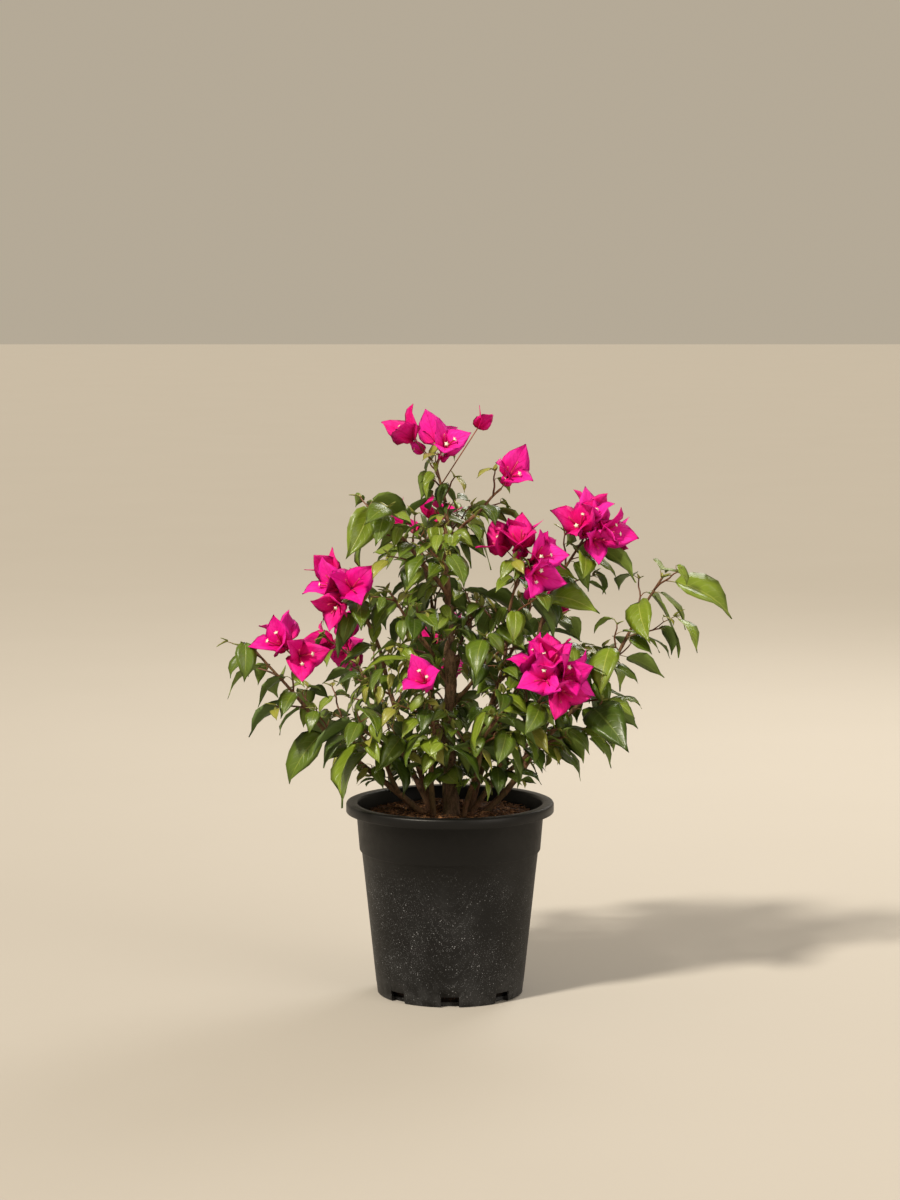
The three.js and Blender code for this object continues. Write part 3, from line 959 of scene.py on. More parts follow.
class Bundle:
    """Many small closed pieces gathered into one mesh."""

    def __init__(self) -> None:
        """Start with nothing."""
        self.points: list[np.ndarray] = []
        self.faces: list[Faces] = []
        self.slots: list[list[int]] = []
        self.uvs: list[np.ndarray] = []
        self.count = 0

    def add(self, points: np.ndarray, faces: Faces, slots: Sequence[int] | int,
            uvs: np.ndarray | None = None) -> None:
        """Add one piece.

        Args:
            points: Its corners, in millimetres.
            faces: Its faces, counted from 0.
            slots: The material of each face, or of all.
            uvs: Place of each corner on its own pattern.
        """
        points = np.asarray(points, dtype=float).reshape(-1, 3)
        self.points.append(points)
        self.faces.append([tuple(i + self.count for i in face) for face in faces])
        self.slots.append([slots] * len(faces) if isinstance(slots, int) else list(slots))
        self.uvs.append(np.zeros((len(points), 2)) if uvs is None else uvs)
        self.count += len(points)

    def add_tube(self, axis: Axis, sides: int, steps: int, slot: int) -> None:
        """Add a closed tube whose pattern runs along it.

        Args:
            axis: Its curve and radius.
            sides: Points in a ring.
            steps: Stretches between rings.
            slot: Its material.
        """
        points = rings(axis, sides, steps)
        place = [[k / sides, step / steps] for step in range(steps + 1) for k in range(sides)]
        self.add(points, tube_faces(sides, steps), slot, np.array(place))

    def build(self, name: str, materials: Sequence[bpy.types.Material]) -> bpy.types.Object:
        """Make the mesh.

        Args:
            name: The piece's name.
            materials: What its slots hold.

        Returns:
            The finished object.
        """
        mesh = bpy.data.meshes.new(name)
        faces = [face for part in self.faces for face in part]
        mesh.from_pydata((np.concatenate(self.points) * MM).tolist(), [], faces)
        mesh.polygons.foreach_set("material_index", [s for part in self.slots for s in part])
        mesh.polygons.foreach_set("use_smooth", [True] * len(mesh.polygons))
        corner = np.empty(len(mesh.loops), dtype=np.int32)
        mesh.loops.foreach_get("vertex_index", corner)
        layer = mesh.uv_layers.new(name="pattern")
        layer.data.foreach_set("uv", np.concatenate(self.uvs)[corner].ravel())
        return placed(name, mesh, materials)


def placed(name: str, mesh: bpy.types.Mesh,
           materials: Sequence[bpy.types.Material]) -> bpy.types.Object:
    """Put a mesh into the scene as a piece that rides on the object's one body.

    Args:
        name: The piece's name.
        mesh: Its mesh, in metres, in place.
        materials: Its materials, in order of slot.

    Returns:
        The object.
    """
    mesh.validate()
    mesh.update()
    for material in materials:
        mesh.materials.append(material)
    piece = added(name, mesh)
    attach(piece, "root")
    LOG.info("%s: %d faces", name, len(mesh.polygons))
    return piece


def from_bmesh(name: str, bm: bmesh.types.BMesh,
               materials: Sequence[bpy.types.Material]) -> bpy.types.Object:
    """Turn a finished bmesh, in millimetres, into a piece.

    Args:
        name: The piece's name.
        bm: The bmesh, which is freed.
        materials: Its materials.

    Returns:
        The object.
    """
    bmesh.ops.scale(bm, vec=(MM, MM, MM), verts=bm.verts)
    bmesh.ops.recalc_face_normals(bm, faces=bm.faces)
    for face in bm.faces:
        face.smooth = True
    return placed(name, mesh_of(name, bm), materials)


def lathe(profile: Sequence[tuple[float, float]], segments: int) -> bmesh.types.BMesh:
    """Spin a profile of radius and height round the Z axis.

    Args:
        profile: Corners from the axis round to the axis again.
        segments: Steps of the spin.

    Returns:
        A closed bmesh, in millimetres.
    """
    bm = bmesh.new()
    corners = [bm.verts.new((radius, 0.0, height)) for radius, height in profile]
    edges = [bm.edges.new(pair) for pair in zip(corners, corners[1:])]
    bmesh.ops.spin(bm, geom=corners + edges, cent=(0, 0, 0), axis=(0, 0, 1),
                   angle=2 * math.pi, steps=segments, use_merge=True)
    bmesh.ops.remove_doubles(bm, verts=bm.verts, dist=0.01)
    bmesh.ops.recalc_face_normals(bm, faces=bm.faces)
    return bm


@dataclass(frozen=True)
class BladeShape:
    """The outline of a leaf or bract, and how its surface swells and waves."""

    outline: tuple[tuple[float, float], ...]
    across: int = 4
    thickness: float = 0.35
    hollow: float = 0.25
    ruffle: float = 0.03

    def template(self) -> tuple[np.ndarray, Faces, list[int]]:
        """A closed thin blade in plain numbers.

        Returns:
            Corners as (aside, share, layer), faces, and 1 for each face of the underside.
        """
        bm = bmesh.new()
        rows = len(self.outline) - 1
        bmesh.ops.create_grid(bm, x_segments=self.across, y_segments=rows, size=1.0)
        copy = bmesh.ops.duplicate(bm, geom=bm.verts[:] + bm.edges[:] + bm.faces[:])["geom"]
        under = {item for item in copy if isinstance(item, bmesh.types.BMFace)}
        bmesh.ops.reverse_faces(bm, faces=list(under))
        for item in copy:
            if isinstance(item, bmesh.types.BMVert) and max(abs(item.co.x), abs(item.co.y)) < 0.99:
                item.co.z = -1.0
        bmesh.ops.remove_doubles(bm, verts=bm.verts, dist=0.01)
        bm.verts.index_update()
        points = np.array([vert.co[:] for vert in bm.verts])
        shares = np.array([share for share, _ in self.outline])
        points[:, 1] = shares[np.rint((points[:, 1] + 1) / 2 * rows).astype(int)]
        faces = [tuple(vert.index for vert in face.verts) for face in bm.faces]
        sides = [int(face in under) for face in bm.faces]
        bm.free()
        return points, faces, sides

    def lay(self, blades: Sequence[Blade], bundle: Bundle) -> None:
        """Shape one copy of the template into each blade.

        Args:
            blades: The blades.
            bundle: Where they go.
        """
        grid, faces, sides = self.template()
        aside, share, layer = grid.T
        half = np.interp(share, *np.array(self.outline).T)
        uvs = np.stack([aside / 2 + 0.5, share], axis=1)
        for blade in blades:
            turned = blade.bend * share
            out = blade.width * half * np.abs(aside)
            raised = out * math.sin(blade.fold) - self.hollow * out ** 2 / blade.width
            raised += self.ruffle * blade.width * aside ** 2 * np.sin(9 * share + blade.wave)
            raised += layer * self.thickness * (1 - aside ** 2)
            slip = np.sign(aside) * out * math.cos(blade.fold)
            slip += blade.sweep * blade.length * share ** 2
            forward = blade.length * np.sin(turned) / blade.bend
            down = blade.length * (1 - np.cos(turned)) / blade.bend
            axis, face = np.array(blade.axis), np.array(blade.face)
            points = (np.array(blade.foot) + np.outer(forward + raised * np.sin(turned), axis)
                      + np.outer(raised * np.cos(turned) - down, face)
                      + np.outer(slip, np.cross(axis, face)))
            bundle.add(points, faces, sides, uvs)


LEAF_SHAPE = BladeShape(((0, 0.03), (0.06, 0.28), (0.18, 0.49), (0.34, 0.57), (0.52, 0.5),
                         (0.7, 0.32), (0.87, 0.09), (1, 0.006)), ruffle=0.06)
BRACT_SHAPE = BladeShape(((0, 0.16), (0.08, 0.41), (0.24, 0.53), (0.45, 0.51), (0.65, 0.39),
                          (0.82, 0.2), (0.93, 0.07), (1, 0.01)), thickness=0.3, hollow=0.6,
                         ruffle=0.05)


# Shaders

class Field:
    """A number that varies over a surface: one socket, with arithmetic that adds Math nodes."""

    def __init__(self, shade: "Shade", socket: bpy.types.NodeSocket) -> None:
        """Wrap a socket of a shade."""
        self.shade = shade
        self.socket = socket

    def _with(self, operation: str, *values: "Field | float") -> "Field":
        """The result of one Math node."""
        node = self.shade.node("ShaderNodeMath", {"operation": operation}, dict(enumerate(values)))
        return Field(self.shade, node.outputs[0])

    def __add__(self, other: "Field | float") -> "Field":
        """Sum."""
        return self._with("ADD", self, other)

    __radd__ = __add__

    def __sub__(self, other: "Field | float") -> "Field":
        """Difference."""
        return self._with("SUBTRACT", self, other)

    def __rsub__(self, other: "Field | float") -> "Field":
        """Difference from a number."""
        return self._with("SUBTRACT", other, self)

    def __mul__(self, other: "Field | float") -> "Field":
        """Product."""
        return self._with("MULTIPLY", self, other)

    __rmul__ = __mul__

    def __truediv__(self, other: "Field | float") -> "Field":
        """Quotient."""
        return self._with("DIVIDE", self, other)

    def __abs__(self) -> "Field":
        """Size without sign."""
        return self._with("ABSOLUTE", self)

    def fraction(self) -> "Field":
        """What is left over the whole number below."""
        return self._with("FRACT", self)

    def most(self, other: "Field | float") -> "Field":
        """The larger of two."""
        return self._with("MAXIMUM", self, other)

    def rise(self, low: float, high: float) -> "Field":
        """0 at low and 1 at high, with a soft start and end; low may be the larger.

        Args:
            low: Where it starts.
            high: Where it ends.

        Returns:
            The mask.
        """
        node = self.shade.node("ShaderNodeMapRange", {"interpolation_type": "SMOOTHSTEP"},
                               {"Value": self, "From Min": low, "From Max": high})
        return Field(self.shade, node.outputs[0])


class Shade:
    """A material whose nodes are written as expressions."""

    def __init__(self, name: str) -> None:
        """Make an empty material.

        Args:
            name: The material's name.
        """
        self.material = bpy.data.materials.new(name)
        self.material.use_nodes = True
        self.tree = self.material.node_tree
        self.tree.nodes.clear()
        self.output = self.tree.nodes.new("ShaderNodeOutputMaterial")
        self.place = self.node("ShaderNodeTexCoord").outputs["Object"]

    def node(self, kind: str, settings: dict[str, object] | None = None,
             values: dict[str | int, object] | None = None) -> bpy.types.Node:
        """Add any node.

        Args:
            kind: Its type.
            settings: Its own settings, which are set first.
            values: What its sockets hold or are linked to, by name or number.

        Returns:
            The node.
        """
        node = self.tree.nodes.new(kind)
        for name, value in (settings or {}).items():
            setattr(node, name, value)
        for name, value in (values or {}).items():
            socket = node.inputs[name]
            if isinstance(value, Field):
                value = value.socket
            if isinstance(value, bpy.types.NodeSocket):
                self.tree.links.new(value, socket)
            elif isinstance(value, tuple) and socket.type == "RGBA":
                socket.default_value = (*value, 1.0)
            else:
                socket.default_value = value
        return node

    def stretched(self, scale: Sequence[float]) -> bpy.types.NodeSocket:
        """Object coordinates drawn out or squeezed by axis."""
        values = {"Vector": self.place, "Scale": tuple(scale)}
        return self.node("ShaderNodeMapping", {}, values).outputs[0]

    def noise(self, scale: float, detail: float = 3.0, rough: float = 0.5,
              stretch: Sequence[float] = (1, 1, 1)) -> Field:
        """Soft noise from 0 to 1.

        Args:
            scale: Lumps in a metre.
            detail: Finer layers.
            rough: Their strength.
            stretch: Scale by axis.

        Returns:
            The noise.
        """
        values = {"Vector": self.stretched(stretch), "Scale": scale, "Detail": detail,
                  "Roughness": rough}
        return Field(self, self.node("ShaderNodeTexNoise", {}, values).outputs["Fac"])

    def cells(self, scale: float, output: str = "Distance") -> Field:
        """Distance to the nearest of many scattered points, or that point's own chance.

        Args:
            scale: Points in a metre.
            output: "Distance", or "Color" for the chance.

        Returns:
            The value.
        """
        values = {"Vector": self.place, "Scale": scale}
        return Field(self, self.node("ShaderNodeTexVoronoi", {}, values).outputs[output])

    def along(self) -> tuple[Field, Field]:
        """Where a point lies on its own blade or twig.

        Returns:
            Its place across, and its place along.
        """
        uv = self.node("ShaderNodeUVMap", {"uv_map": "pattern"}).outputs[0]
        parts = self.node("ShaderNodeSeparateXYZ", {}, {0: uv})
        return Field(self, parts.outputs[0]), Field(self, parts.outputs[1])

    def height(self) -> Field:
        """Height over the ground, in metres."""
        return Field(self, self.node("ShaderNodeSeparateXYZ", {}, {0: self.place}).outputs[2])

    def mix(self, amount: Field | float, first: object, second: object) -> bpy.types.NodeSocket:
        """Blend two colours.

        Args:
            amount: 0 for the first and 1 for the second.
            first: A colour or a colour socket.
            second: A colour or a colour socket.

        Returns:
            The blended colour.
        """
        node = self.node("ShaderNodeMix", {"data_type": "RGBA", "clamp_factor": True},
                         {0: amount, 6: first, 7: second})
        return node.outputs[2]

    def bump(self, height: Field, distance: float, strength: float = 1.0) -> bpy.types.NodeSocket:
        """Relief from a height.

        Args:
            height: The height, 0 to 1.
            distance: How much a height of 1 stands out, in metres.
            strength: Share of it that is used.

        Returns:
            The normal.
        """
        values = {"Height": height, "Distance": distance, "Strength": strength}
        return self.node("ShaderNodeBump", {}, values).outputs[0]

    def surface(self, colour: object, rough: object,
                normal: bpy.types.NodeSocket | None = None, **fixed: float) -> bpy.types.Material:
        """Finish the material.

        Args:
            colour: Base colour.
            rough: Roughness.
            normal: Relief, where there is any.
            fixed: Other plain values, with _ for a blank in the socket's name.

        Returns:
            The material.
        """
        values: dict[str | int, object] = {"Base Color": colour, "Roughness": rough}
        values.update({name.replace("_", " "): value for name, value in fixed.items()})
        if normal is not None:
            values["Normal"] = normal
        shader = self.node("ShaderNodeBsdfPrincipled", {}, values)
        self.tree.links.new(shader.outputs[0], self.output.inputs[0])
        return self.material


def scaled(colour: Colour, factor: float) -> Colour:
    """A colour made lighter or darker."""
    return tuple(min(part * factor, 1.0) for part in colour)


def blended(first: Colour, second: Colour, share: float) -> Colour:
    """A colour between two, with a share of the second."""
    return tuple((1 - share) * one + share * other for one, other in zip(first, second))


def from_side_vein(along: Field, off: Field, count: float, curve: float, lean: float) -> Field:
    """How far a point of a blade lies from its nearest side vein.

    Args:
        along: Share of the blade's length.
        off: Distance from the midrib.
        count: Veins along the blade.
        curve: How much they curl forward towards the margin.
        lean: How much they lean forward at the midrib.

    Returns:
        0 on a vein and 0.5 midway between two.
    """
    return abs((along * count - off * (off * curve + lean)).fraction() - 0.5)


@dataclass(frozen=True)
class LeafFinish:
    """The upper side of a leaf: pale midrib, faint side veins, a lighter margin, a soft gloss."""

    tint: Tint
    colour: Colour
    vein: Colour
    gloss: float = 0.27
    veins: tuple[float, float, float] = (8, 7, 2)

    def material(self) -> bpy.types.Material:
        """Make the material.

        Returns:
            The material.
        """
        shade = Shade(f"leaf_{self.tint.value}")
        across, along = shade.along()
        off = abs(across - 0.5)
        midrib = off.rise(0.035, 0.008)
        vein = from_side_vein(along, off, *self.veins)
        side = vein.rise(0.1, 0.02) * off.rise(0.48, 0.3) * 0.3
        patches = shade.noise(55, 3).rise(0.35, 0.7)
        colour = shade.mix(patches * 0.55, self.colour, scaled(self.colour, 0.62))
        colour = shade.mix(off.rise(0.43, 0.5) * 0.3, colour, self.vein)
        colour = shade.mix(midrib.most(side) * 0.55, colour, self.vein)
        relief = shade.noise(900, 2) * 0.25 - midrib.most(side * 1.6)
        rough = shade.noise(140, 2) * 0.16 + self.gloss
        return shade.surface(colour, rough, shade.bump(relief, 0.0005, 0.6),
                             Specular_IOR_Level=0.5)


@dataclass(frozen=True)
class UndersideFinish:
    """The underside of a leaf: paler and dull, with a raised midrib."""

    tint: Tint
    colour: Colour
    veins: tuple[float, float, float] = (8, 7, 2)

    def material(self) -> bpy.types.Material:
        """Make the material.

        Returns:
            The material.
        """
        shade = Shade(f"underside_{self.tint.value}")
        across, along = shade.along()
        off = abs(across - 0.5)
        side = from_side_vein(along, off, *self.veins).rise(0.1, 0.03)
        veins = off.rise(0.04, 0.01).most(side * 0.4)
        base = shade.mix(shade.noise(70, 2).rise(0.3, 0.7) * 0.4, self.colour,
                         scaled(self.colour, 0.75))
        colour = shade.mix(veins * 0.5, base, scaled(self.colour, 1.6))
        return shade.surface(colour, 0.62, shade.bump(veins, 0.0004, 0.6),
                             Specular_IOR_Level=0.3)


@dataclass(frozen=True)
class BractFinish:
    """A papery bract: magenta, redder towards its foot, with a net of darker veins."""

    tint: Tint
    colour: Colour
    heart: Colour
    edge: Colour = (0.82, 0.055, 0.42)
    veins: tuple[float, float, float] = (6, 8, 3)

    def material(self) -> bpy.types.Material:
        """Make the material.

        Returns:
            The material.
        """
        shade = Shade(f"bract_{self.tint.value}")
        across, along = shade.along()
        off = abs(across - 0.5)
        side = from_side_vein(along, off, *self.veins).rise(0.12, 0.02)
        net = off.rise(0.03, 0.006).most(side * 0.6)
        colour = shade.mix(along.rise(0.55, 0.02) * 0.8, self.colour, self.heart)
        pale = shade.noise(90, 3).rise(0.35, 0.75) * along.rise(0.1, 0.9) * 0.5
        colour = shade.mix(pale, colour, self.edge)
        colour = shade.mix(net * 0.35, colour, scaled(self.heart, 0.8))
        crease = shade.noise(260, 3) * 0.5 - net
        return shade.surface(colour, 0.6, shade.bump(crease, 0.0006, 0.7),
                             Specular_IOR_Level=0.15)


@dataclass(frozen=True)
class BarkFinish:
    """Woody stems: brown with long cracks, greenish and dusty near the foot."""

    name: str
    colour: Colour
    crack: Colour
    moss: float
    moss_colour: Colour = (0.075, 0.09, 0.022)

    def material(self) -> bpy.types.Material:
        """Make the material.

        Returns:
            The material.
        """
        shade = Shade(self.name)
        long = (1, 1, 0.22)
        cracks = shade.noise(420, 5, 0.65, long)
        blotch = shade.noise(60, 4, 0.6)
        colour = shade.mix(cracks.rise(0.35, 0.62), self.crack, self.colour)
        colour = shade.mix(blotch.rise(0.5, 0.75) * 0.5, colour, scaled(self.colour, 1.9))
        green = shade.noise(35, 3).rise(0.42, 0.62) * shade.height().rise(0.56, 0.27) * self.moss
        colour = shade.mix(green, colour, self.moss_colour)
        spots = shade.cells(480).rise(0.28, 0.12) * 0.5
        colour = shade.mix(spots, colour, scaled(self.colour, 2.4))
        # Darker towards the foot, from a little over the mix down.
        colour = shade.mix(shade.height().rise(0.34, 0.25) * 0.45, colour, self.crack)
        relief = cracks * 0.8 + spots * 0.4
        return shade.surface(colour, shade.noise(200, 2) * 0.2 + 0.66,
                             shade.bump(relief, 0.0012), Specular_IOR_Level=0.3)


@dataclass(frozen=True)
class ShootFinish:
    """Young twigs and leaf stalks: reddish brown that greens towards the tip."""

    name: str
    foot: Colour
    tip: Colour

    def material(self) -> bpy.types.Material:
        """Make the material.

        Returns:
            The material.
        """
        shade = Shade(self.name)
        _, along = shade.along()
        mottle = shade.noise(160, 3)
        colour = shade.mix(along.rise(0.1, 0.95), self.foot, self.tip)
        colour = shade.mix(mottle.rise(0.5, 0.8) * 0.4, colour, scaled(self.foot, 0.6))
        return shade.surface(colour, 0.48, shade.bump(shade.noise(700, 2), 0.0003),
                             Specular_IOR_Level=0.4)


@dataclass(frozen=True)
class MouldedPlastic:
    """Black moulded plastic: satin, scuffed, spattered with dried dust below the band."""

    colour: Colour = (0.0030, 0.0029, 0.0030)
    dust: Colour = (0.35, 0.36, 0.38)
    band: float = 0.1945
    lip: float = 0.246

    def material(self) -> bpy.types.Material:
        """Make the material.

        Returns:
            The material.
        """
        shade = Shade("pot_plastic")
        height = shade.height()
        low = height.rise(self.band + 0.01, self.band - 0.05)
        drifts = shade.noise(16, 3, 0.5)
        chance = shade.cells(300, "Color")
        specks = shade.cells(300).rise(0.22, 0.12) * chance.rise(0.62, 0.7)
        fine = shade.cells(760).rise(0.3, 0.16) * shade.cells(760, "Color").rise(0.45, 0.6)
        scratch = shade.noise(420, 2, 0.4, (1, 1, 0.3)).rise(0.72, 0.8) * 0.2
        dirt = specks.most(fine * 0.6).most(scratch) * drifts.rise(0.25, 0.6) * low
        film = shade.noise(14, 5, 0.65).rise(0.4, 0.75) * (low * 0.8 + 0.2)
        foot = height.rise(0.045, 0.0) * shade.noise(60, 4).rise(0.35, 0.65)
        colour = shade.mix(film * 0.035, self.colour, self.dust)
        colour = shade.mix(foot * 0.07, colour, self.dust)
        colour = shade.mix(dirt * 0.85, colour, self.dust)
        rim = height.rise(self.lip - 0.004, self.lip)
        rough = shade.noise(90, 3) * 0.16 + 0.44 + dirt * 0.3 - rim * 0.12
        relief = shade.noise(1600, 2) * 0.3 + shade.noise(30, 2) * 0.7 + dirt * 0.4
        return shade.surface(colour, rough, shade.bump(relief, 0.0006, 0.5),
                             Specular_IOR_Level=0.25)


@dataclass(frozen=True)
class MixFinish:
    """Moist bark and coir: dark brown crumbs with lighter fibres, and painted shade near the bottom.
    """

    name: str
    dark: Colour
    light: Colour

    def material(self) -> bpy.types.Material:
        """Make the material.

        Returns:
            The material.
        """
        shade = Shade(self.name)
        crumbs = shade.noise(170, 6, 0.7)
        fibres = shade.noise(420, 3, 0.6, (1, 0.25, 1))
        colour = shade.mix(crumbs.rise(0.38, 0.66), self.dark, self.light)
        # Painted shade: almost black near the bottom, down in the pot's foot where the notches open.
        colour = shade.mix(shade.height().rise(0.05, 0.03) * 0.9, colour, scaled(self.dark, 0.2))
        colour = shade.mix(fibres.rise(0.58, 0.72) * 0.6, colour, scaled(self.light, 1.7))
        return shade.surface(colour, 0.9, shade.bump(crumbs + fibres * 0.5, 0.002),
                             Specular_IOR_Level=0.25)


@dataclass(frozen=True)
class PlainFinish:
    """A small piece of one colour that is gently mottled."""

    name: str
    colour: Colour
    rough: float
    mottle: float = 0.75

    def material(self) -> bpy.types.Material:
        """Make the material.

        Returns:
            The material.
        """
        shade = Shade(self.name)
        spots = shade.noise(400, 2)
        colour = shade.mix(spots.rise(0.4, 0.7), self.colour, scaled(self.colour, self.mottle))
        return shade.surface(colour, self.rough, shade.bump(spots, 0.0003))


LEAF_COLOURS: dict[Tint, tuple[Colour, Colour]] = {
    Tint.DEEP: ((0.044, 0.080, 0.005), (0.15, 0.20, 0.04)),
    Tint.GREEN: ((0.088, 0.142, 0.008), (0.25, 0.30, 0.05)),
    Tint.BRIGHT: ((0.160, 0.228, 0.014), (0.36, 0.40, 0.08)),
    Tint.YOUNG: ((0.270, 0.275, 0.040), (0.44, 0.38, 0.10)),
}
UNDERSIDE_PALE: Colour = (0.13, 0.19, 0.06)
BRACT_COLOURS: dict[Tint, tuple[Colour, Colour]] = {
    Tint.MAGENTA: ((0.70, 0.002, 0.26), (0.60, 0.001, 0.13)),
    Tint.ROSE: ((0.78, 0.012, 0.34), (0.66, 0.003, 0.15)),
    Tint.CRIMSON: ((0.68, 0.002, 0.20), (0.52, 0.001, 0.09)),
}


# Sub-assemblies

@dataclass
class NurseryPot:
    """A tapered black pot with a stepped band, a down-turned lip and notches in its foot."""

    height: float = 260.0
    rim_radius: float = 140.0
    lip_height: float = 13.0
    lip: float = 2.6
    neck_radius: float = 127.0
    band_height: float = 194.5
    band_radius: float = 122.0
    band_step: float = 3.0
    foot_radius: float = 98.5
    wall: float = 2.4
    floor: float = 5.0
    foot_bevel: float = 1.2
    band_bevel: float = 1.5
    rim_bevel: float = 2.6
    wall_steps: int = 6
    notches: int = 8
    notch: tuple[float, float, float] = (18.0, 24.0, 28.0)
    segments: int = 144

    @property
    def inner_foot(self) -> float:
        """Radius inside the wall at the floor."""
        return self.foot_radius - self.wall

    @property
    def inner_shoulder(self) -> float:
        """Radius inside the wall just under the band."""
        return self.band_radius - self.band_step - self.wall

    @property
    def inner_band_height(self) -> float:
        """Height where the inside of the wall bends out to the neck."""
        return self.band_height - self.band_step

    def profile(self) -> list[tuple[float, float]]:
        """The pot's section, from the middle of the underside round to the middle of the floor.

        Returns:
            Radius and height of each corner.
        """
        under = self.height - self.lip
        shoulder = self.band_radius - self.band_step
        skirt = self.height - self.lip_height
        outside = [(0, 0), (self.foot_radius - self.foot_bevel, 0),
                   (self.foot_radius, self.foot_bevel)]
        outside += [(self.foot_radius + (shoulder - self.foot_radius) * k / self.wall_steps,
                     self.band_height * k / self.wall_steps) for k in range(1, self.wall_steps)]
        outside += [(shoulder, self.band_height - self.band_bevel),
                    (self.band_radius - 1, self.band_height),
                    (self.band_radius, self.band_height + self.band_bevel),
                    (self.neck_radius, under)]
        lip = [(self.rim_radius - self.lip, under - 1), (self.rim_radius - self.lip, skirt),
               (self.rim_radius - 0.6, skirt), (self.rim_radius, skirt + 0.8),
               (self.rim_radius, self.height - self.rim_bevel),
               (self.rim_radius - 0.9, self.height - 0.7),
               (self.rim_radius - self.rim_bevel, self.height),
               (self.neck_radius + 0.5, self.height),
               (self.neck_radius - 1.6, self.height - 0.8)]
        inside = [(self.neck_radius - self.wall, under - 1),
                  (self.inner_shoulder, self.inner_band_height),
                  (self.inner_foot, self.floor), (0, self.floor)]
        return outside + lip + inside

    def build(self) -> None:
        """Make the pot with its notches cut out."""
        bm = lathe(self.profile(), self.segments)
        pot = from_bmesh("nursery_pot", bm, [MouldedPlastic().material()])
        depth, width, height = self.notch
        cutter = bmesh.new()
        for k in range(self.notches):
            turn = Matrix.Rotation(2 * math.pi * k / self.notches - math.pi / 2, 4, "Z")
            place = turn @ Matrix.Translation((self.foot_radius * MM, 0, 0))
            size = Matrix.Diagonal((depth * MM, width * MM, height * MM, 1))
            bmesh.ops.create_cube(cutter, size=1.0, matrix=place @ size)
        tool = added("notch_cutter", mesh_of("notch_cutter", cutter))
        cut = pot.modifiers.new("notches", "BOOLEAN")
        cut.operation, cut.solver, cut.object = "DIFFERENCE", "EXACT", tool
        shaped = bpy.data.meshes.new_from_object(
            pot.evaluated_get(bpy.context.evaluated_depsgraph_get()))
        pot.modifiers.clear()
        pot.data = shaped
        bpy.data.objects.remove(tool)
        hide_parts("pot")


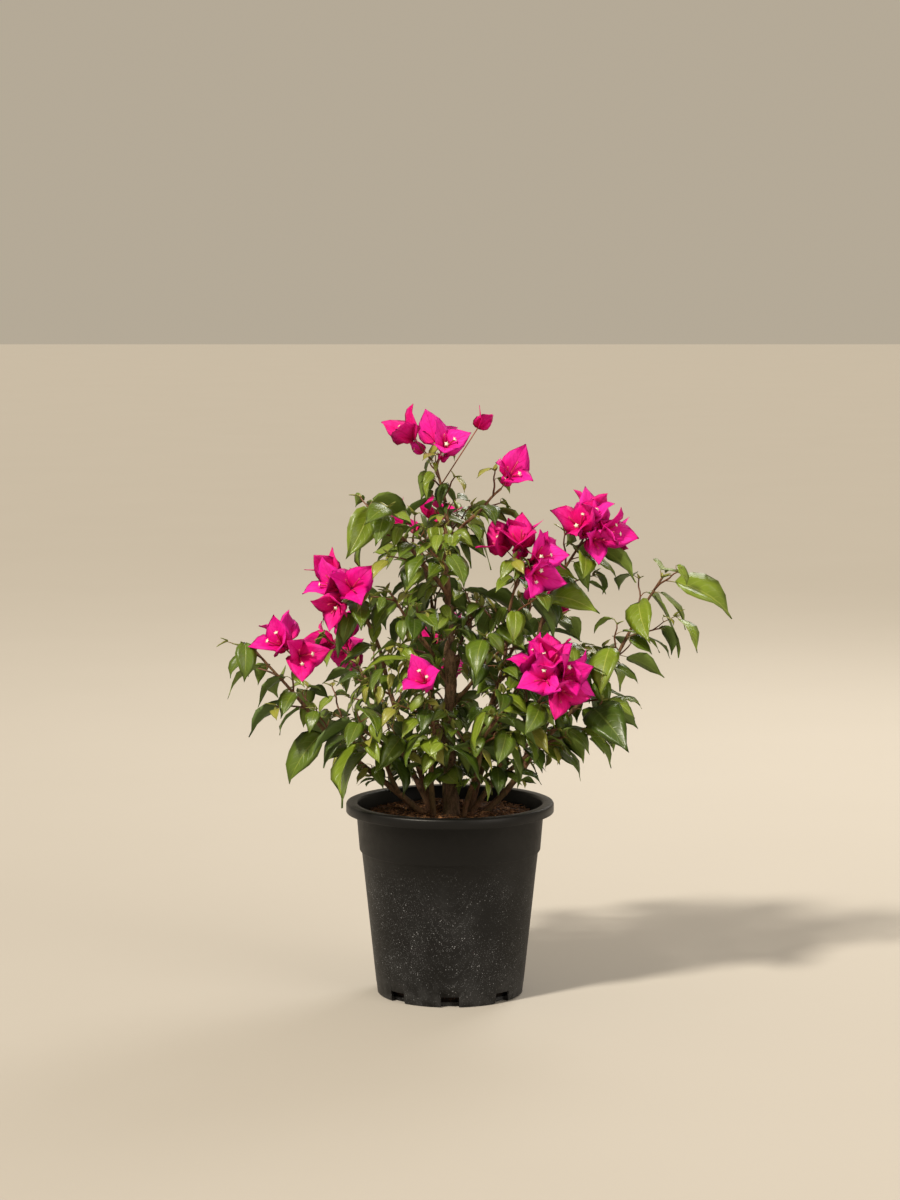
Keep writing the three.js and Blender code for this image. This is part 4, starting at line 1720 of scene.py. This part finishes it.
@dataclass
class PottingMix:
    """The moist mix: one body with a crumbly top, and loose fibres and crumbs lying on it."""

    pot: NurseryPot
    top: float = MIX_HEIGHT
    clearance: float = 1.0
    edge_drop: float = 5.0
    lumpiness: float = 2.6
    lump_scale: float = 0.06
    flat_radius: float = 78.0
    foot_radius: float = 87.5
    foot_step: float = 16.0
    segments: int = 160
    circles: int = 56
    fibres: int = 1500
    fibre_rise: Span = Span(-10.4, 15.6)
    fibre_length: Span = Span(5, 16)
    fibre_bow: Span = Span(-1.5, 1.5)
    fibre_lift: Span = Span(0.6, 1.8)
    fibre_radius: Span = Span(0.25, 0.7)
    crumbs: int = 900
    crumb_size: tuple[Span, Span, Span] = (Span(1.0, 5.2), Span(0.8, 3.4), Span(0.7, 2.4))
    crumb_tip: Span = Span(-0.6, 0.6)
    crumb_roughness: Span = Span(0.8, 1.2)
    litter_margin: float = 6.0

    def wall_radius(self, height: float) -> float:
        """The mix's radius at a height, just inside the pot's wall."""
        rise = Span(self.pot.floor, self.pot.inner_band_height).share(height)
        return Span(self.pot.inner_foot, self.pot.inner_shoulder).at(rise) - self.clearance

    @property
    def top_radius(self) -> float:
        """The radius of the surface."""
        return self.wall_radius(self.top - self.edge_drop)

    def level(self, x: float, y: float) -> float:
        """The height of the surface, without the loose pieces.

        Args:
            x: Place across.
            y: Place from front to back.

        Returns:
            The height, which falls off to the wall.
        """
        fall = max(0.0, Span(self.flat_radius, self.top_radius).share(math.hypot(x, y)))
        lumps = noise.fractal(Vector((x, y, 3.0)) * self.lump_scale, 0.8, 2.0, 5)
        return self.top - self.edge_drop * fall + self.lumpiness * lumps

    def build(self) -> None:
        """Make the body of the mix and what lies on it."""
        bottom, step, neck = self.pot.floor + GAP, self.foot_step, self.pot.inner_band_height
        profile = [(0, bottom), (self.foot_radius, bottom), (self.foot_radius, step),
                   (self.wall_radius(step), step), (self.wall_radius(neck), neck)]
        profile += [(self.top_radius * (1 - k / self.circles), self.top)
                    for k in range(self.circles + 1)]
        bm = lathe(profile, self.segments)
        for vert in bm.verts:
            if vert.co.z > self.top - 1:
                vert.co.z = self.level(vert.co.x, vert.co.y)
        soil = MixFinish("mix_crumbs", (0.014, 0.0065, 0.0036), (0.080, 0.036, 0.016))
        body = from_bmesh("mix_body", bm, [soil.material()])
        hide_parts("potting_mix")
        self._litter()

    def _fibre(self, base: Vector, draw: Draw) -> Stem:
        """One loose fibre.

        Args:
            base: The point of the surface under its middle.
            draw: Seeded numbers.

        Returns:
            Its axis.
        """
        heading, rise = 360 * draw(), self.fibre_rise.at(draw())
        along = tilted(polar(heading, 1, 0), UP, rise)
        length, bow = self.fibre_length.at(draw()), self.fibre_bow.at(draw())
        start, end = base - along * length / 2, base + along * length / 2
        lift = UP * self.fibre_lift.at(draw())
        mid = (start + end) / 2 + around(along, 0) * bow
        radius = self.fibre_radius.at(draw())
        return Stem(start + lift, mid + lift, end + lift, radius, radius * TAPER)

    def _crumb(self, ball: np.ndarray, base: Vector, draw: Draw) -> np.ndarray:
        """One loose crumb.

        Args:
            ball: The corners of a plain ball.
            base: The point of the surface under it.
            draw: Seeded numbers.

        Returns:
            Its corners.
        """
        size = np.array([span.at(draw()) for span in self.crumb_size])
        turn = np.array(Matrix.Rotation(FULL_TURN * draw(), 3, "Z")
                        @ Matrix.Rotation(self.crumb_tip.at(draw()), 3, "X"))
        rough = np.array([[self.crumb_roughness.at(draw())] for _ in range(len(ball))])
        return (ball * rough * size) @ turn.T + np.array(base + UP * 0.5)

    def _litter(self) -> None:
        """Strew fibres and then crumbs over the surface, in three browns."""
        draw = Stream.LITTER.draw()
        bundle = Bundle()
        bm = bmesh.new()
        bmesh.ops.create_icosphere(bm, subdivisions=1, radius=1.0)
        ball = np.array([vert.co[:] for vert in bm.verts])
        ball_faces = [tuple(vert.index for vert in face.verts) for face in bm.faces]
        bm.free()
        reach = self.top_radius - self.litter_margin
        for k in range(self.fibres + self.crumbs):
            radius, angle = reach * math.sqrt(draw()), 2 * math.pi * draw()
            x, y = radius * math.cos(angle), radius * math.sin(angle)
            base = Vector((x, y, self.level(x, y)))
            slot = int(3 * draw())
            if k < self.fibres:
                bundle.add_tube(self._fibre(base, draw), sides=4, steps=3, slot=slot)
            else:
                bundle.add(self._crumb(ball, base, draw), ball_faces, slot)
        browns = [MixFinish("litter_dark", (0.028, 0.012, 0.006), (0.11, 0.05, 0.022)),
                  MixFinish("litter_brown", (0.052, 0.022, 0.009), (0.19, 0.085, 0.034)),
                  MixFinish("litter_tan", (0.14, 0.062, 0.026), (0.34, 0.17, 0.075))]
        litter = bundle.build("mix_litter", [brown.material() for brown in browns])
        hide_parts("potting_mix")


@dataclass
class WoodyStems:
    """The pruned main stem, its leader, and every bough on to the tip of its spray."""

    stem_foot: tuple[float, float] = (2, -20)
    stem_head: tuple[float, float, float] = (-3, -14, 527)
    joint_spacing: float = 26.0
    joint_swell: float = 0.12
    joint_sharpness: int = 12
    grain_across: float = 0.3
    grain_along: float = 0.08
    stubs: tuple[tuple[float, float, float], ...] = ((0.34, 40, 13), (0.72, 200, 11),
                                                     (0.95, 330, 12))
    stub_lean: float = 58.0
    stub_start: float = 4.0
    limbs: dict[str, Axis] = field(default_factory=dict)
    leaders: list[tuple[StemPlan, Axis]] = field(default_factory=list)
    whole: list[Stem] = field(default_factory=list)

    def plan(self) -> None:
        """Work out every axis, in the order of the part's source."""
        ground = MIX_HEIGHT + GAP
        foot, top = Vector((*self.stem_foot, ground - 6)), Vector(self.stem_head)
        main_stem = FlaredStem(foot, (foot + top) / 2 + UP * 10, top, foot_radius=9.2,
                               tip_radius=7.2, kink=0.008, phase=2, flare=4.5, flare_height=14)
        base, tip = main_stem.point(0.985), polar(*LEADER_TIP)
        leader = Stem(base, (base + tip) / 2 + UP * 20, tip, foot_radius=4.2, tip_radius=2.5,
                      kink=0.02, phase=1)
        self.limbs |= {"main_stem": main_stem, "leader": leader}
        for index, plan in enumerate(STEMS):
            tip = polar(*plan.tip)
            start = (self.limbs[plan.on].point(plan.at) if plan.on
                     else polar(*plan.foot, ground - 5))
            knee = (start + tip) / 2 + UP * 2 * plan.bow
            stem = Stem(start, knee, tip, plan.radius, TWIG_RADIUS, BOUGH_KINK, index)
            split = plan.bare + GAP / (tip - start).length
            self.limbs[plan.name] = Section(stem, 0, plan.bare)
            self.leaders.append((plan, Section(stem, split, 1)))
            self.whole.append(stem)
        base = leader.point(1.0) + leader.tangent(1.0) * 2 * GAP
        tip = polar(*TOP.tip)
        top_stem = Stem(base, (base + tip) / 2, tip, 2.5, TWIG_RADIUS)
        self.leaders.append((TOP, top_stem))
        self.whole.append(top_stem)

    def _limb(self, bm: bmesh.types.BMesh, axis: Axis, sides: int, step: float,
              relief: float, seed: float) -> None:
        """Draw one limb out ring by ring, with bark relief and swollen leaf joints.

        Args:
            bm: Where it goes.
            axis: The limb.
            sides: Points in a ring.
            step: Distance between rings.
            relief: Depth of the bark, as a share of the radius.
            seed: Where its bark starts.
        """
        steps = max(6, int(axis.length() / step))
        made = bmesh.ops.create_circle(bm, cap_ends=True, segments=sides, radius=1.0)
        ring = sorted(made["verts"], key=lambda v: math.atan2(v.co.y, v.co.x) % (2 * math.pi))
        cap = ring[0].link_faces[0]
        for k, places in enumerate(rings(axis, sides, steps)):
            if k > 0:
                order = {vert.co.to_tuple(5): place for place, vert in enumerate(ring)}
                grown = bmesh.ops.extrude_face_region(bm, geom=[cap])["geom"]
                if k > 1:
                    bmesh.ops.delete(bm, geom=[cap], context="FACES_ONLY")
                ring = sorted((item for item in grown if isinstance(item, bmesh.types.BMVert)),
                              key=lambda vert: order[vert.co.to_tuple(5)])
                cap = next(item for item in grown if isinstance(item, bmesh.types.BMFace))
            centre = axis.point(k / steps)
            swell = max(0.0, math.cos(2 * math.pi * k * step / self.joint_spacing))
            joint = 1 + self.joint_swell * swell ** self.joint_sharpness
            for vert, place in zip(ring, map(Vector, places)):
                spot = Vector((place.x * self.grain_across + seed, place.y * self.grain_across,
                               place.z * self.grain_along))
                rough = noise.fractal(spot, 0.7, 2.0, 4)
                vert.co = centre + (place - centre) * (joint + relief * rough)

    def build(self) -> None:
        """Make the main stem, the leader and the boughs, each kind one piece."""
        bark = BarkFinish("bark_old", (0.240, 0.140, 0.084), (0.058, 0.032, 0.019), 0.6)
        young = BarkFinish("bark_young", (0.190, 0.096, 0.046), (0.060, 0.028, 0.016), 0.5)
        trunk = bmesh.new()
        self._limb(trunk, self.limbs["main_stem"], sides=24, step=3.0, relief=0.10, seed=3.0)
        self._stubs(trunk)
        piece = from_bmesh("stem_bark", trunk, [bark.material()])
        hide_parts("main_stem")
        boughs = bmesh.new()
        self._limb(boughs, self.limbs["leader"], sides=12, step=3.0, relief=0.07, seed=5.0)
        for index, stem in enumerate(self.whole):
            self._limb(boughs, stem, sides=10, step=4.0, relief=0.07, seed=7.0 + index)
        piece = from_bmesh("bough_bark", boughs, [young.material()])
        names = [f"bough_{plan.name}" for plan in STEMS]
        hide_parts("leader", *names)

    def _stubs(self, bm: bmesh.types.BMesh) -> None:
        """Short pruned stubs on the main stem, each by its share, heading and length.

        Args:
            bm: Where they go.
        """
        stem = self.limbs["main_stem"]
        for share, heading, length in self.stubs:
            base, along = stem.point(share), stem.tangent(share)
            out = tilted(along, around(along, heading), self.stub_lean)
            start = base + out * self.stub_start
            end = start + out * length
            stub = Stem(start, (start + end) / 2, end, foot_radius=3.4, tip_radius=2.9)
            self._limb(bm, stub, sides=10, step=2.0, relief=0.12, seed=share)


@dataclass
class Crown:
    """Twigs, leaves, flowers and young tips on every leader."""

    MOST_TWIGS = 9
    LIMB_RINGS = {"main_stem": (8, 10), "leader": (6, 5)}
    BOUGH_RINGS = (5, 4)

    stems: WoodyStems
    greens: Greens = Greens()
    room: Room = field(default_factory=Room)
    twigs: list[Axis] = field(default_factory=list)
    fine: list[Axis] = field(default_factory=list)
    leaves: list[Blade] = field(default_factory=list)
    flowers: list[Flower] = field(default_factory=list)
    tips: list[tuple[Vector, Vector]] = field(default_factory=list)

    def grow(self) -> None:
        """Grow every spray, first by the part's own rule and then on to finer twigs."""
        for name, limb in self.stems.limbs.items():
            sides, steps = self.LIMB_RINGS.get(name, self.BOUGH_RINGS)
            self.room.add(*tube(limb, sides, steps, LIMB_GAP), "limb")
        self.room.add(box_corners(*CLEARING), BOX_FACES, "clearing")
        for plan, leader in self.stems.leaders:
            self.room.add(*tube(leader, 3, LEADER_STEPS, LIMB_GAP), (plan.name, 0))
        sprays = [grow_spray(plan, leader, index)
                  for index, (plan, leader) in enumerate(self.stems.leaders)]
        for step in (self._keep_twigs, self._fill_clusters, self._keep_leaves):
            for spray in sprays:
                step(spray)
        self.room.add(box_corners(*BARE), BOX_FACES, "bare")
        for spray in sprays:
            self._carry_on(spray)
        for index, (name, limb) in enumerate(self.stems.limbs.items()):
            self._clothe(ON_MAIN_STEM if name == "main_stem" else ON_LIMB, limb, index)
        LOG.info("crown: %d twigs, %d fine twigs, %d leaves, %d flowers", len(self.twigs),
                 len(self.fine), len(self.leaves), len(self.flowers))

    def _keep_twigs(self, spray: Spray) -> None:
        """Keep the twigs and flowers that touch nothing else.

        Args:
            spray: What the rule has grown.
        """
        name = spray.plan.name
        draw = Stream.FLOWERS.draw(spray.index)
        spray.kept.add(0)
        for k, core in enumerate(spray.cores[1:], 1):
            points, faces = tube(core, 3, TWIG_STEPS, 2 * GAP)
            if self.room.free(points, faces, [(name, j) for j in range(k)]):
                spray.kept.add(k)
                self.twigs.append(spray.twigs[k])
                self.room.add(points, faces, (name, k))
        for k, flower in spray.flowers:
            if k in spray.kept:
                self._keep_flower(flower, name, k, draw)

    def _keep_flower(self, flower: Flower, name: str, k: int, draw: Draw) -> None:
        """Keep a flower of one twig of a spray, unless it would touch another spray.

        Args:
            flower: The flower.
            name: The spray's name.
            k: The twig's number.
            draw: Seeded numbers.
        """
        points = flower.rim + [flower.centre]
        count = len(flower.rim)
        faces: Faces = [(count, j, (j + 1) % count) for j in range(count)]
        if self.room.free(points, faces, [(name, "flower"), (name, k)]):
            for bract in flower.bracts:
                bract.sweep, bract.wave = BRACT_SWEEP * (draw() - 0.5), FULL_TURN * draw()
            self.flowers.append(flower)
            self.room.add(points, faces, (name, "flower"))

    def _fill_clusters(self, spray: Spray) -> None:
        """Fill each cluster with smaller flowers and buds, and set a lone bud beside the top.

        Args:
            spray: The spray.
        """
        draw = Stream.FILLERS.draw(spray.index)
        plan = spray.plan
        for k in sorted({k for k, _ in spray.flowers} & spray.kept):
            own = [flower.centre for j, flower in spray.flowers if j == k]
            for filler in (SMALL_FLOWERS, BUDS) if len(own) >= CROWDED else (BUDS,):
                small = cluster(spray.twigs[k], round(filler.share * len(own)),
                                plan.stalk * filler.size, plan.out(), draw, filler.size,
                                filler.width)
                gap = FLOWER_GAP * filler.size
                for flower in small:
                    if min((flower.centre - centre).length for centre in own) > gap:
                        own.append(flower.centre)
                        self._keep_flower(flower, plan.name, k, draw)
        if plan is TOP:
            base = spray.twigs[0].point(LONE_BUD_FROM)
            way = Vector(LONE_BUD_TO) - base
            bud = flower_at(base, way.normalized(), way.length, draw, LONE_BUD_SIZE,
                            LONE_BUD_WIDTH)
            self._keep_flower(bud, plan.name, 0, draw)

    def _keep_leaves(self, spray: Spray) -> None:
        """Keep the leaves that touch nothing else, and note where young tips grow.

        Args:
            spray: The spray, which is left with only its kept twigs.
        """
        name = spray.plan.name
        draw = Stream.LEAVES.draw(spray.index)
        for k, tries in spray.leaves:
            if k in spray.kept:
                self._place_leaf(tries, [(name, k), (name, 0)], draw)
        blooming = {k for k, _ in spray.flowers}
        spray.twigs = [twig for k, twig in enumerate(spray.twigs) if k in spray.kept]
        ends = [t for k, t in enumerate(spray.twigs) if k not in blooming]
        self.tips += [(twig.point(1.0), twig.tangent(1.0)) for twig in ends]

    def _place_leaf(self, tries: list[Blade], but: Sequence[object], draw: Draw) -> None:
        """Keep the first of a leaf's headings that touches nothing.

        Args:
            tries: The leaf at each heading.
            but: Owners that it may touch.
            draw: Seeded numbers.
        """
        chance, wave, sweep = draw(), draw(), draw()
        for blade in tries:
            points, faces = blade.solid(blade.length * LEAF_THICKNESS + 2 * GAP)
            if within_reach(points[2]) and self.room.free(points, faces, but):
                self.room.add(points, faces, "leaf")
                blade.tint = self.greens.tint(blade, chance)
                blade.wave, blade.sweep = FULL_TURN * wave, LEAF_SWEEP * (sweep - 0.5)
                self.leaves.append(blade)
                return

    def _carry_on(self, spray: Spray) -> None:
        """Carry a spray on to finer twigs with smaller leaves, within its own reach.

        Args:
            spray: The spray, with only its kept twigs.
        """
        draw = Stream.FINE_TWIGS.draw(spray.index)
        name = spray.plan.name
        own_twigs = [(name, i) for i in range(self.MOST_TWIGS)]
        for k, carrier in enumerate(spray.twigs):
            growth = ON_TWIG if k else ON_LEADER
            count = max(1, int(carrier.length() / growth.step))
            turn = 360 * draw()
            for j in range(count):
                share = (j + 0.6) / (count + 0.2)
                shoot = Shoot.drawn(growth, carrier, share, turn + j * GOLDEN_ANGLE, draw)
                clear = self.room.free(*shoot.solid(), own_twigs + ["limb", "clearing"])
                outer = self._outer(shoot.twig.foot)
                if not clear or draw() < THINNING * outer:
                    continue
                own = ["clearing", (name, 0), (name, k), (name, "fine", k, j)]
                self._keep_shoot(shoot, OUTER_GROWTH * outer, own, draw)
                self.tips.append((shoot.twig.point(1.0), shoot.twig.tangent(1.0)))

    def _outer(self, point: Vector) -> float:
        """0 inside the crown and 1 where the photo shows sky between its outer sprays."""
        outer = max(THIN_REACH.share(math.hypot(point.x, point.y)), THIN_HEIGHT.share(point.z))
        return min(max(outer, 0.0), 1.0)

    def _keep_shoot(self, shoot: Shoot, larger: float, own: Sequence[object],
                    draw: Draw) -> None:
        """Keep a shoot, and set its three leaves along it where they have room.

        Args:
            shoot: The shoot.
            larger: What is added to the size of its leaves.
            own: Owners that its leaves may touch, with its own name last.
            draw: Seeded numbers.
        """
        self.fine.append(shoot.twig)
        self.room.add(*shoot.solid(), own[-1])
        for m, (at, look) in enumerate(zip((shoot.growth.first_leaf, 0.8, 1.0), shoot.looks)):
            base, along = shoot.twig.point(at), shoot.twig.tangent(at)
            size = shoot.growth.leaf_size + LEAF_GROWTH * look[5] + larger
            tries = leaf_tries(base, base, along, shoot.turn + m * GOLDEN_ANGLE, size, look[:5])
            self._place_leaf(tries, own, draw)

    def _clothe(self, growth: Growth, limb: Axis, index: int) -> None:
        """Set short shoots with small leaves along a bare limb, from a little over the mix up.

        Args:
            growth: How shoots grow on it.
            limb: The main stem, the leader or a bough.
            index: The limb's place in the order of making.
        """
        draw = Stream.SHOOTS.draw(index)
        count = int(limb.length() / growth.step)
        turn = 360 * draw()
        for j in range(count):
            share = (j + 0.7) / count
            shoot = Shoot.drawn(growth, limb, share, turn + j * GOLDEN_ANGLE, draw)
            own = ["clearing", ("shoot", index, j)]
            high = share <= 0.99 and shoot.twig.foot.z >= MIX_HEIGHT + BARE_FOOT
            if high and self.room.free(*shoot.solid(), ["limb"] + own):
                self._keep_shoot(shoot, 0.0, own, draw)

    def build(self) -> None:
        """Make the twigs, leaves and flowers, each kind apart."""
        self._build_twigs()
        self._build_leaves()
        self._build_bracts()
        self._build_florets()

    @property
    def _nodes(self) -> list[str]:
        """The names of the sprays that the pieces stand for."""
        return [f"spray_{plan.name}" for plan, _ in self.stems.leaders]

    def _build_twigs(self) -> None:
        """Make the twigs, the finer twigs and the leaf stalks."""
        bundle = Bundle()
        for twig in self.twigs:
            bundle.add_tube(twig, sides=7, steps=7, slot=0)
        for twig in self.fine:
            bundle.add_tube(twig, sides=5, steps=4, slot=1)
        for blade in self.leaves:
            reach = (blade.foot - blade.base).length
            knee = blade.foot - blade.axis * reach * 0.5
            end = blade.foot + blade.axis * blade.length * 0.03
            radius = PETIOLE_RADIUS + PETIOLE_SWELL * blade.length
            petiole = Stem(blade.base, knee, end, radius, radius * 0.8)
            bundle.add_tube(petiole, sides=5, steps=3, slot=2)
        finishes = [ShootFinish("twig_brown", (0.110, 0.042, 0.020), (0.150, 0.060, 0.026)),
                    ShootFinish("twig_red", (0.150, 0.050, 0.024), (0.170, 0.120, 0.035)),
                    ShootFinish("leaf_stalk", (0.200, 0.070, 0.030), (0.200, 0.230, 0.060))]
        piece = bundle.build("twigs", [finish.material() for finish in finishes])
        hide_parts(*self._nodes)

    def _tufts(self) -> list[Blade]:
        """The young leaves at the ends of the twigs.

        Returns:
            The leaves.
        """
        draw = Stream.TUFTS.draw()
        tufts = []
        for point, along in self.tips:
            count = 2 + int(3 * draw())
            turn = 360 * draw()
            root = point - along * 1.5
            for k in range(count):
                out = around(along, turn + TUFT_TURN * k)
                axis = tilted(along, out, TUFT_LEAN.at(draw())).normalized()
                face = (UP - axis * UP.dot(axis)).normalized()
                length = TUFT_LENGTH.at(draw())
                tufts.append(Blade(root, root, root, axis, face, length, width=length * 0.5,
                                   bend=math.radians(20), fold=math.radians(30),
                                   tint=Tint.YOUNG))
        return tufts

    def _build_leaves(self) -> None:
        """Make the leaves, one piece for each green."""
        leaves = self.leaves + self._tufts()
        for tint, (colour, vein) in LEAF_COLOURS.items():
            bundle = Bundle()
            LEAF_SHAPE.lay([blade for blade in leaves if blade.tint is tint], bundle)
            under = blended(colour, UNDERSIDE_PALE, 0.45)
            finishes = [LeafFinish(tint, colour, vein), UndersideFinish(tint, under)]
            piece = bundle.build(f"leaves_{tint.value}", [f.material() for f in finishes])
            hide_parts(*self._nodes)

    def _build_bracts(self) -> None:
        """Make the bracts, one piece for each pink."""
        tints = list(BRACT_COLOURS)
        for index, flower in enumerate(self.flowers):
            for bract in flower.bracts:
                bract.tint = tints[(index * 7 // 3) % len(tints)]
        for tint, (colour, heart) in BRACT_COLOURS.items():
            bundle = Bundle()
            own = [b for flower in self.flowers for b in flower.bracts if b.tint is tint]
            BRACT_SHAPE.lay(own, bundle)
            finish = BractFinish(tint, colour, heart).material()
            piece = bundle.build(f"bracts_{tint.value}", [finish, finish])
            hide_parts(*self._nodes)

    def _build_florets(self) -> None:
        """Make the stalks, and the slender floret on each bract, some with an open star."""
        draw = Stream.FLORETS.draw()
        bundle = Bundle()
        for flower in self.flowers:
            bundle.add_tube(flower.stalk, sides=6, steps=4, slot=0)
            for bract in flower.bracts:
                start = bract.at(0.05, 0, 0.6)
                end = bract.at(0.5, 0, FLORET_LIFT.at(draw()))
                floret = Stem(start, bract.at(0.3, 0, 2.2), end, foot_radius=0.85, tip_radius=1.15)
                bundle.add_tube(floret, sides=6, steps=4, slot=1)
                if draw() < OPEN_FLORETS:
                    self._star(bundle, end, floret.tangent(1.0), STAR_RADIUS.at(draw()))
        finishes = [ShootFinish("flower_stalk", (0.190, 0.075, 0.030), (0.260, 0.080, 0.050)),
                    PlainFinish("floret_tube", (0.55, 0.03, 0.11), 0.5),
                    PlainFinish("floret_star", (0.86, 0.80, 0.62), 0.5, 0.9)]
        piece = bundle.build("florets", [finish.material() for finish in finishes])
        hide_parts(*self._nodes)

    def _star(self, bundle: Bundle, centre: Vector, along: Vector, radius: float) -> None:
        """Add a small open star of five lobes.

        Args:
            bundle: Where it goes.
            centre: The floret's end.
            along: The way it opens.
            radius: How far its lobes reach.
        """
        points = [centre - along * 0.6, centre + along * 0.5]
        for k in range(10):
            reach = radius if k % 2 == 0 else radius * STAR_NOTCH
            points.append(centre + around(along, 36 * k) * reach + along * 0.9)
        faces: Faces = []
        for k in range(10):
            here, after = 2 + k, 2 + (k + 1) % 10
            faces += [(1, here, after), (0, after, here)]
        bundle.add(np.array(points), faces, 2)


@dataclass
class Studio:
    """The pale floor, the soft lights and the camera."""

    eye: tuple[float, float, float] = (0.0, -4.146, 0.995)
    pitch: float = 6.36
    lens: float = 93.5
    sky: Colour = (0.92, 0.80, 0.62)
    sky_strength: float = 0.5
    floor_size: float = 30.0
    floor_drop: float = 0.0005

    def build(self) -> None:
        """Set up the stage."""
        self._floor()
        self._sun("key", (-2.3, -2.3, 3.2), spread=7, power=4.0, colour=(1.0, 0.92, 0.78))
        self._light("fill", (2.8, -2.6, 1.8), (0, 0, 0.4), size=2.4, power=55,
                    colour=(1.0, 0.93, 0.84))
        self._light("back", (1.4, 2.6, 2.8), (0, 0, 0.5), size=1.4, power=60,
                    colour=(1.0, 0.96, 0.9))
        self._sky()
        self._camera()
        bpy.context.scene.view_settings.view_transform = "Standard"

    def _sky(self) -> None:
        """A warm even light from all round."""
        world = bpy.data.worlds.new("studio")
        world.use_nodes = True
        background = world.node_tree.nodes["Background"]
        background.inputs["Color"].default_value = (*self.sky, 1)
        background.inputs["Strength"].default_value = self.sky_strength
        bpy.context.scene.world = world

    def _camera(self) -> None:
        """The camera of the photo."""
        data = bpy.data.cameras.new("camera")
        data.sensor_fit = "VERTICAL"
        data.sensor_height = 36.0
        data.lens = self.lens
        camera = added("camera", data)
        camera.location = self.eye
        camera.rotation_euler = (math.radians(90 - self.pitch), 0, 0)
        bpy.context.scene.camera = camera

    def _floor(self) -> None:
        """A wide pale floor."""
        bm = bmesh.new()
        bmesh.ops.create_grid(bm, x_segments=1, y_segments=1, size=self.floor_size)
        bmesh.ops.translate(bm, verts=bm.verts, vec=(0, 0, -self.floor_drop))
        mesh = mesh_of("floor", bm)
        shade = Shade("floor_pale")
        tone = shade.mix(shade.noise(2.2, 4) * 0.4, (0.44, 0.41, 0.37), (0.40, 0.37, 0.33))
        mesh.materials.append(shade.surface(tone, 0.85))
        floor = added("floor", mesh)

    def _sun(self, name: str, place: Sequence[float], spread: float, power: float,
             colour: Colour) -> None:
        """Add a broad even light that shines from a place towards the origin.

        Args:
            name: Its name.
            place: Where it shines from.
            spread: The angle that it spans, in degrees.
            power: Its strength.
            colour: Its colour.
        """
        data = bpy.data.lights.new(name, "SUN")
        data.angle, data.energy, data.color = math.radians(spread), power, colour
        added(name, data).rotation_euler = (-Vector(place)).to_track_quat("-Z", "Y").to_euler()

    def _light(self, name: str, place: Sequence[float], target: Sequence[float], size: float,
               power: float, colour: Colour) -> None:
        """Add one square soft light.

        Args:
            name: Its name.
            place: Where it stands.
            target: The point that it looks at.
            size: Its side.
            power: Its power, in watts.
            colour: Its colour.
        """
        data = bpy.data.lights.new(name, "AREA")
        data.size, data.energy, data.color = size, power, colour
        light = added(name, data)
        light.location = place
        aim = Vector(target) - Vector(place)
        light.rotation_euler = aim.to_track_quat("-Z", "Y").to_euler()


def main() -> None:
    """Build the shrub and its stage."""
    logging.basicConfig(level=logging.INFO, format="%(name)s: %(message)s")
    Studio().build()
    pot = NurseryPot()
    pot.build()
    PottingMix(pot).build()
    stems = WoodyStems()
    stems.plan()
    stems.build()
    crown = Crown(stems)
    crown.grow()
    crown.build()


if __name__ == "__main__":
    main()
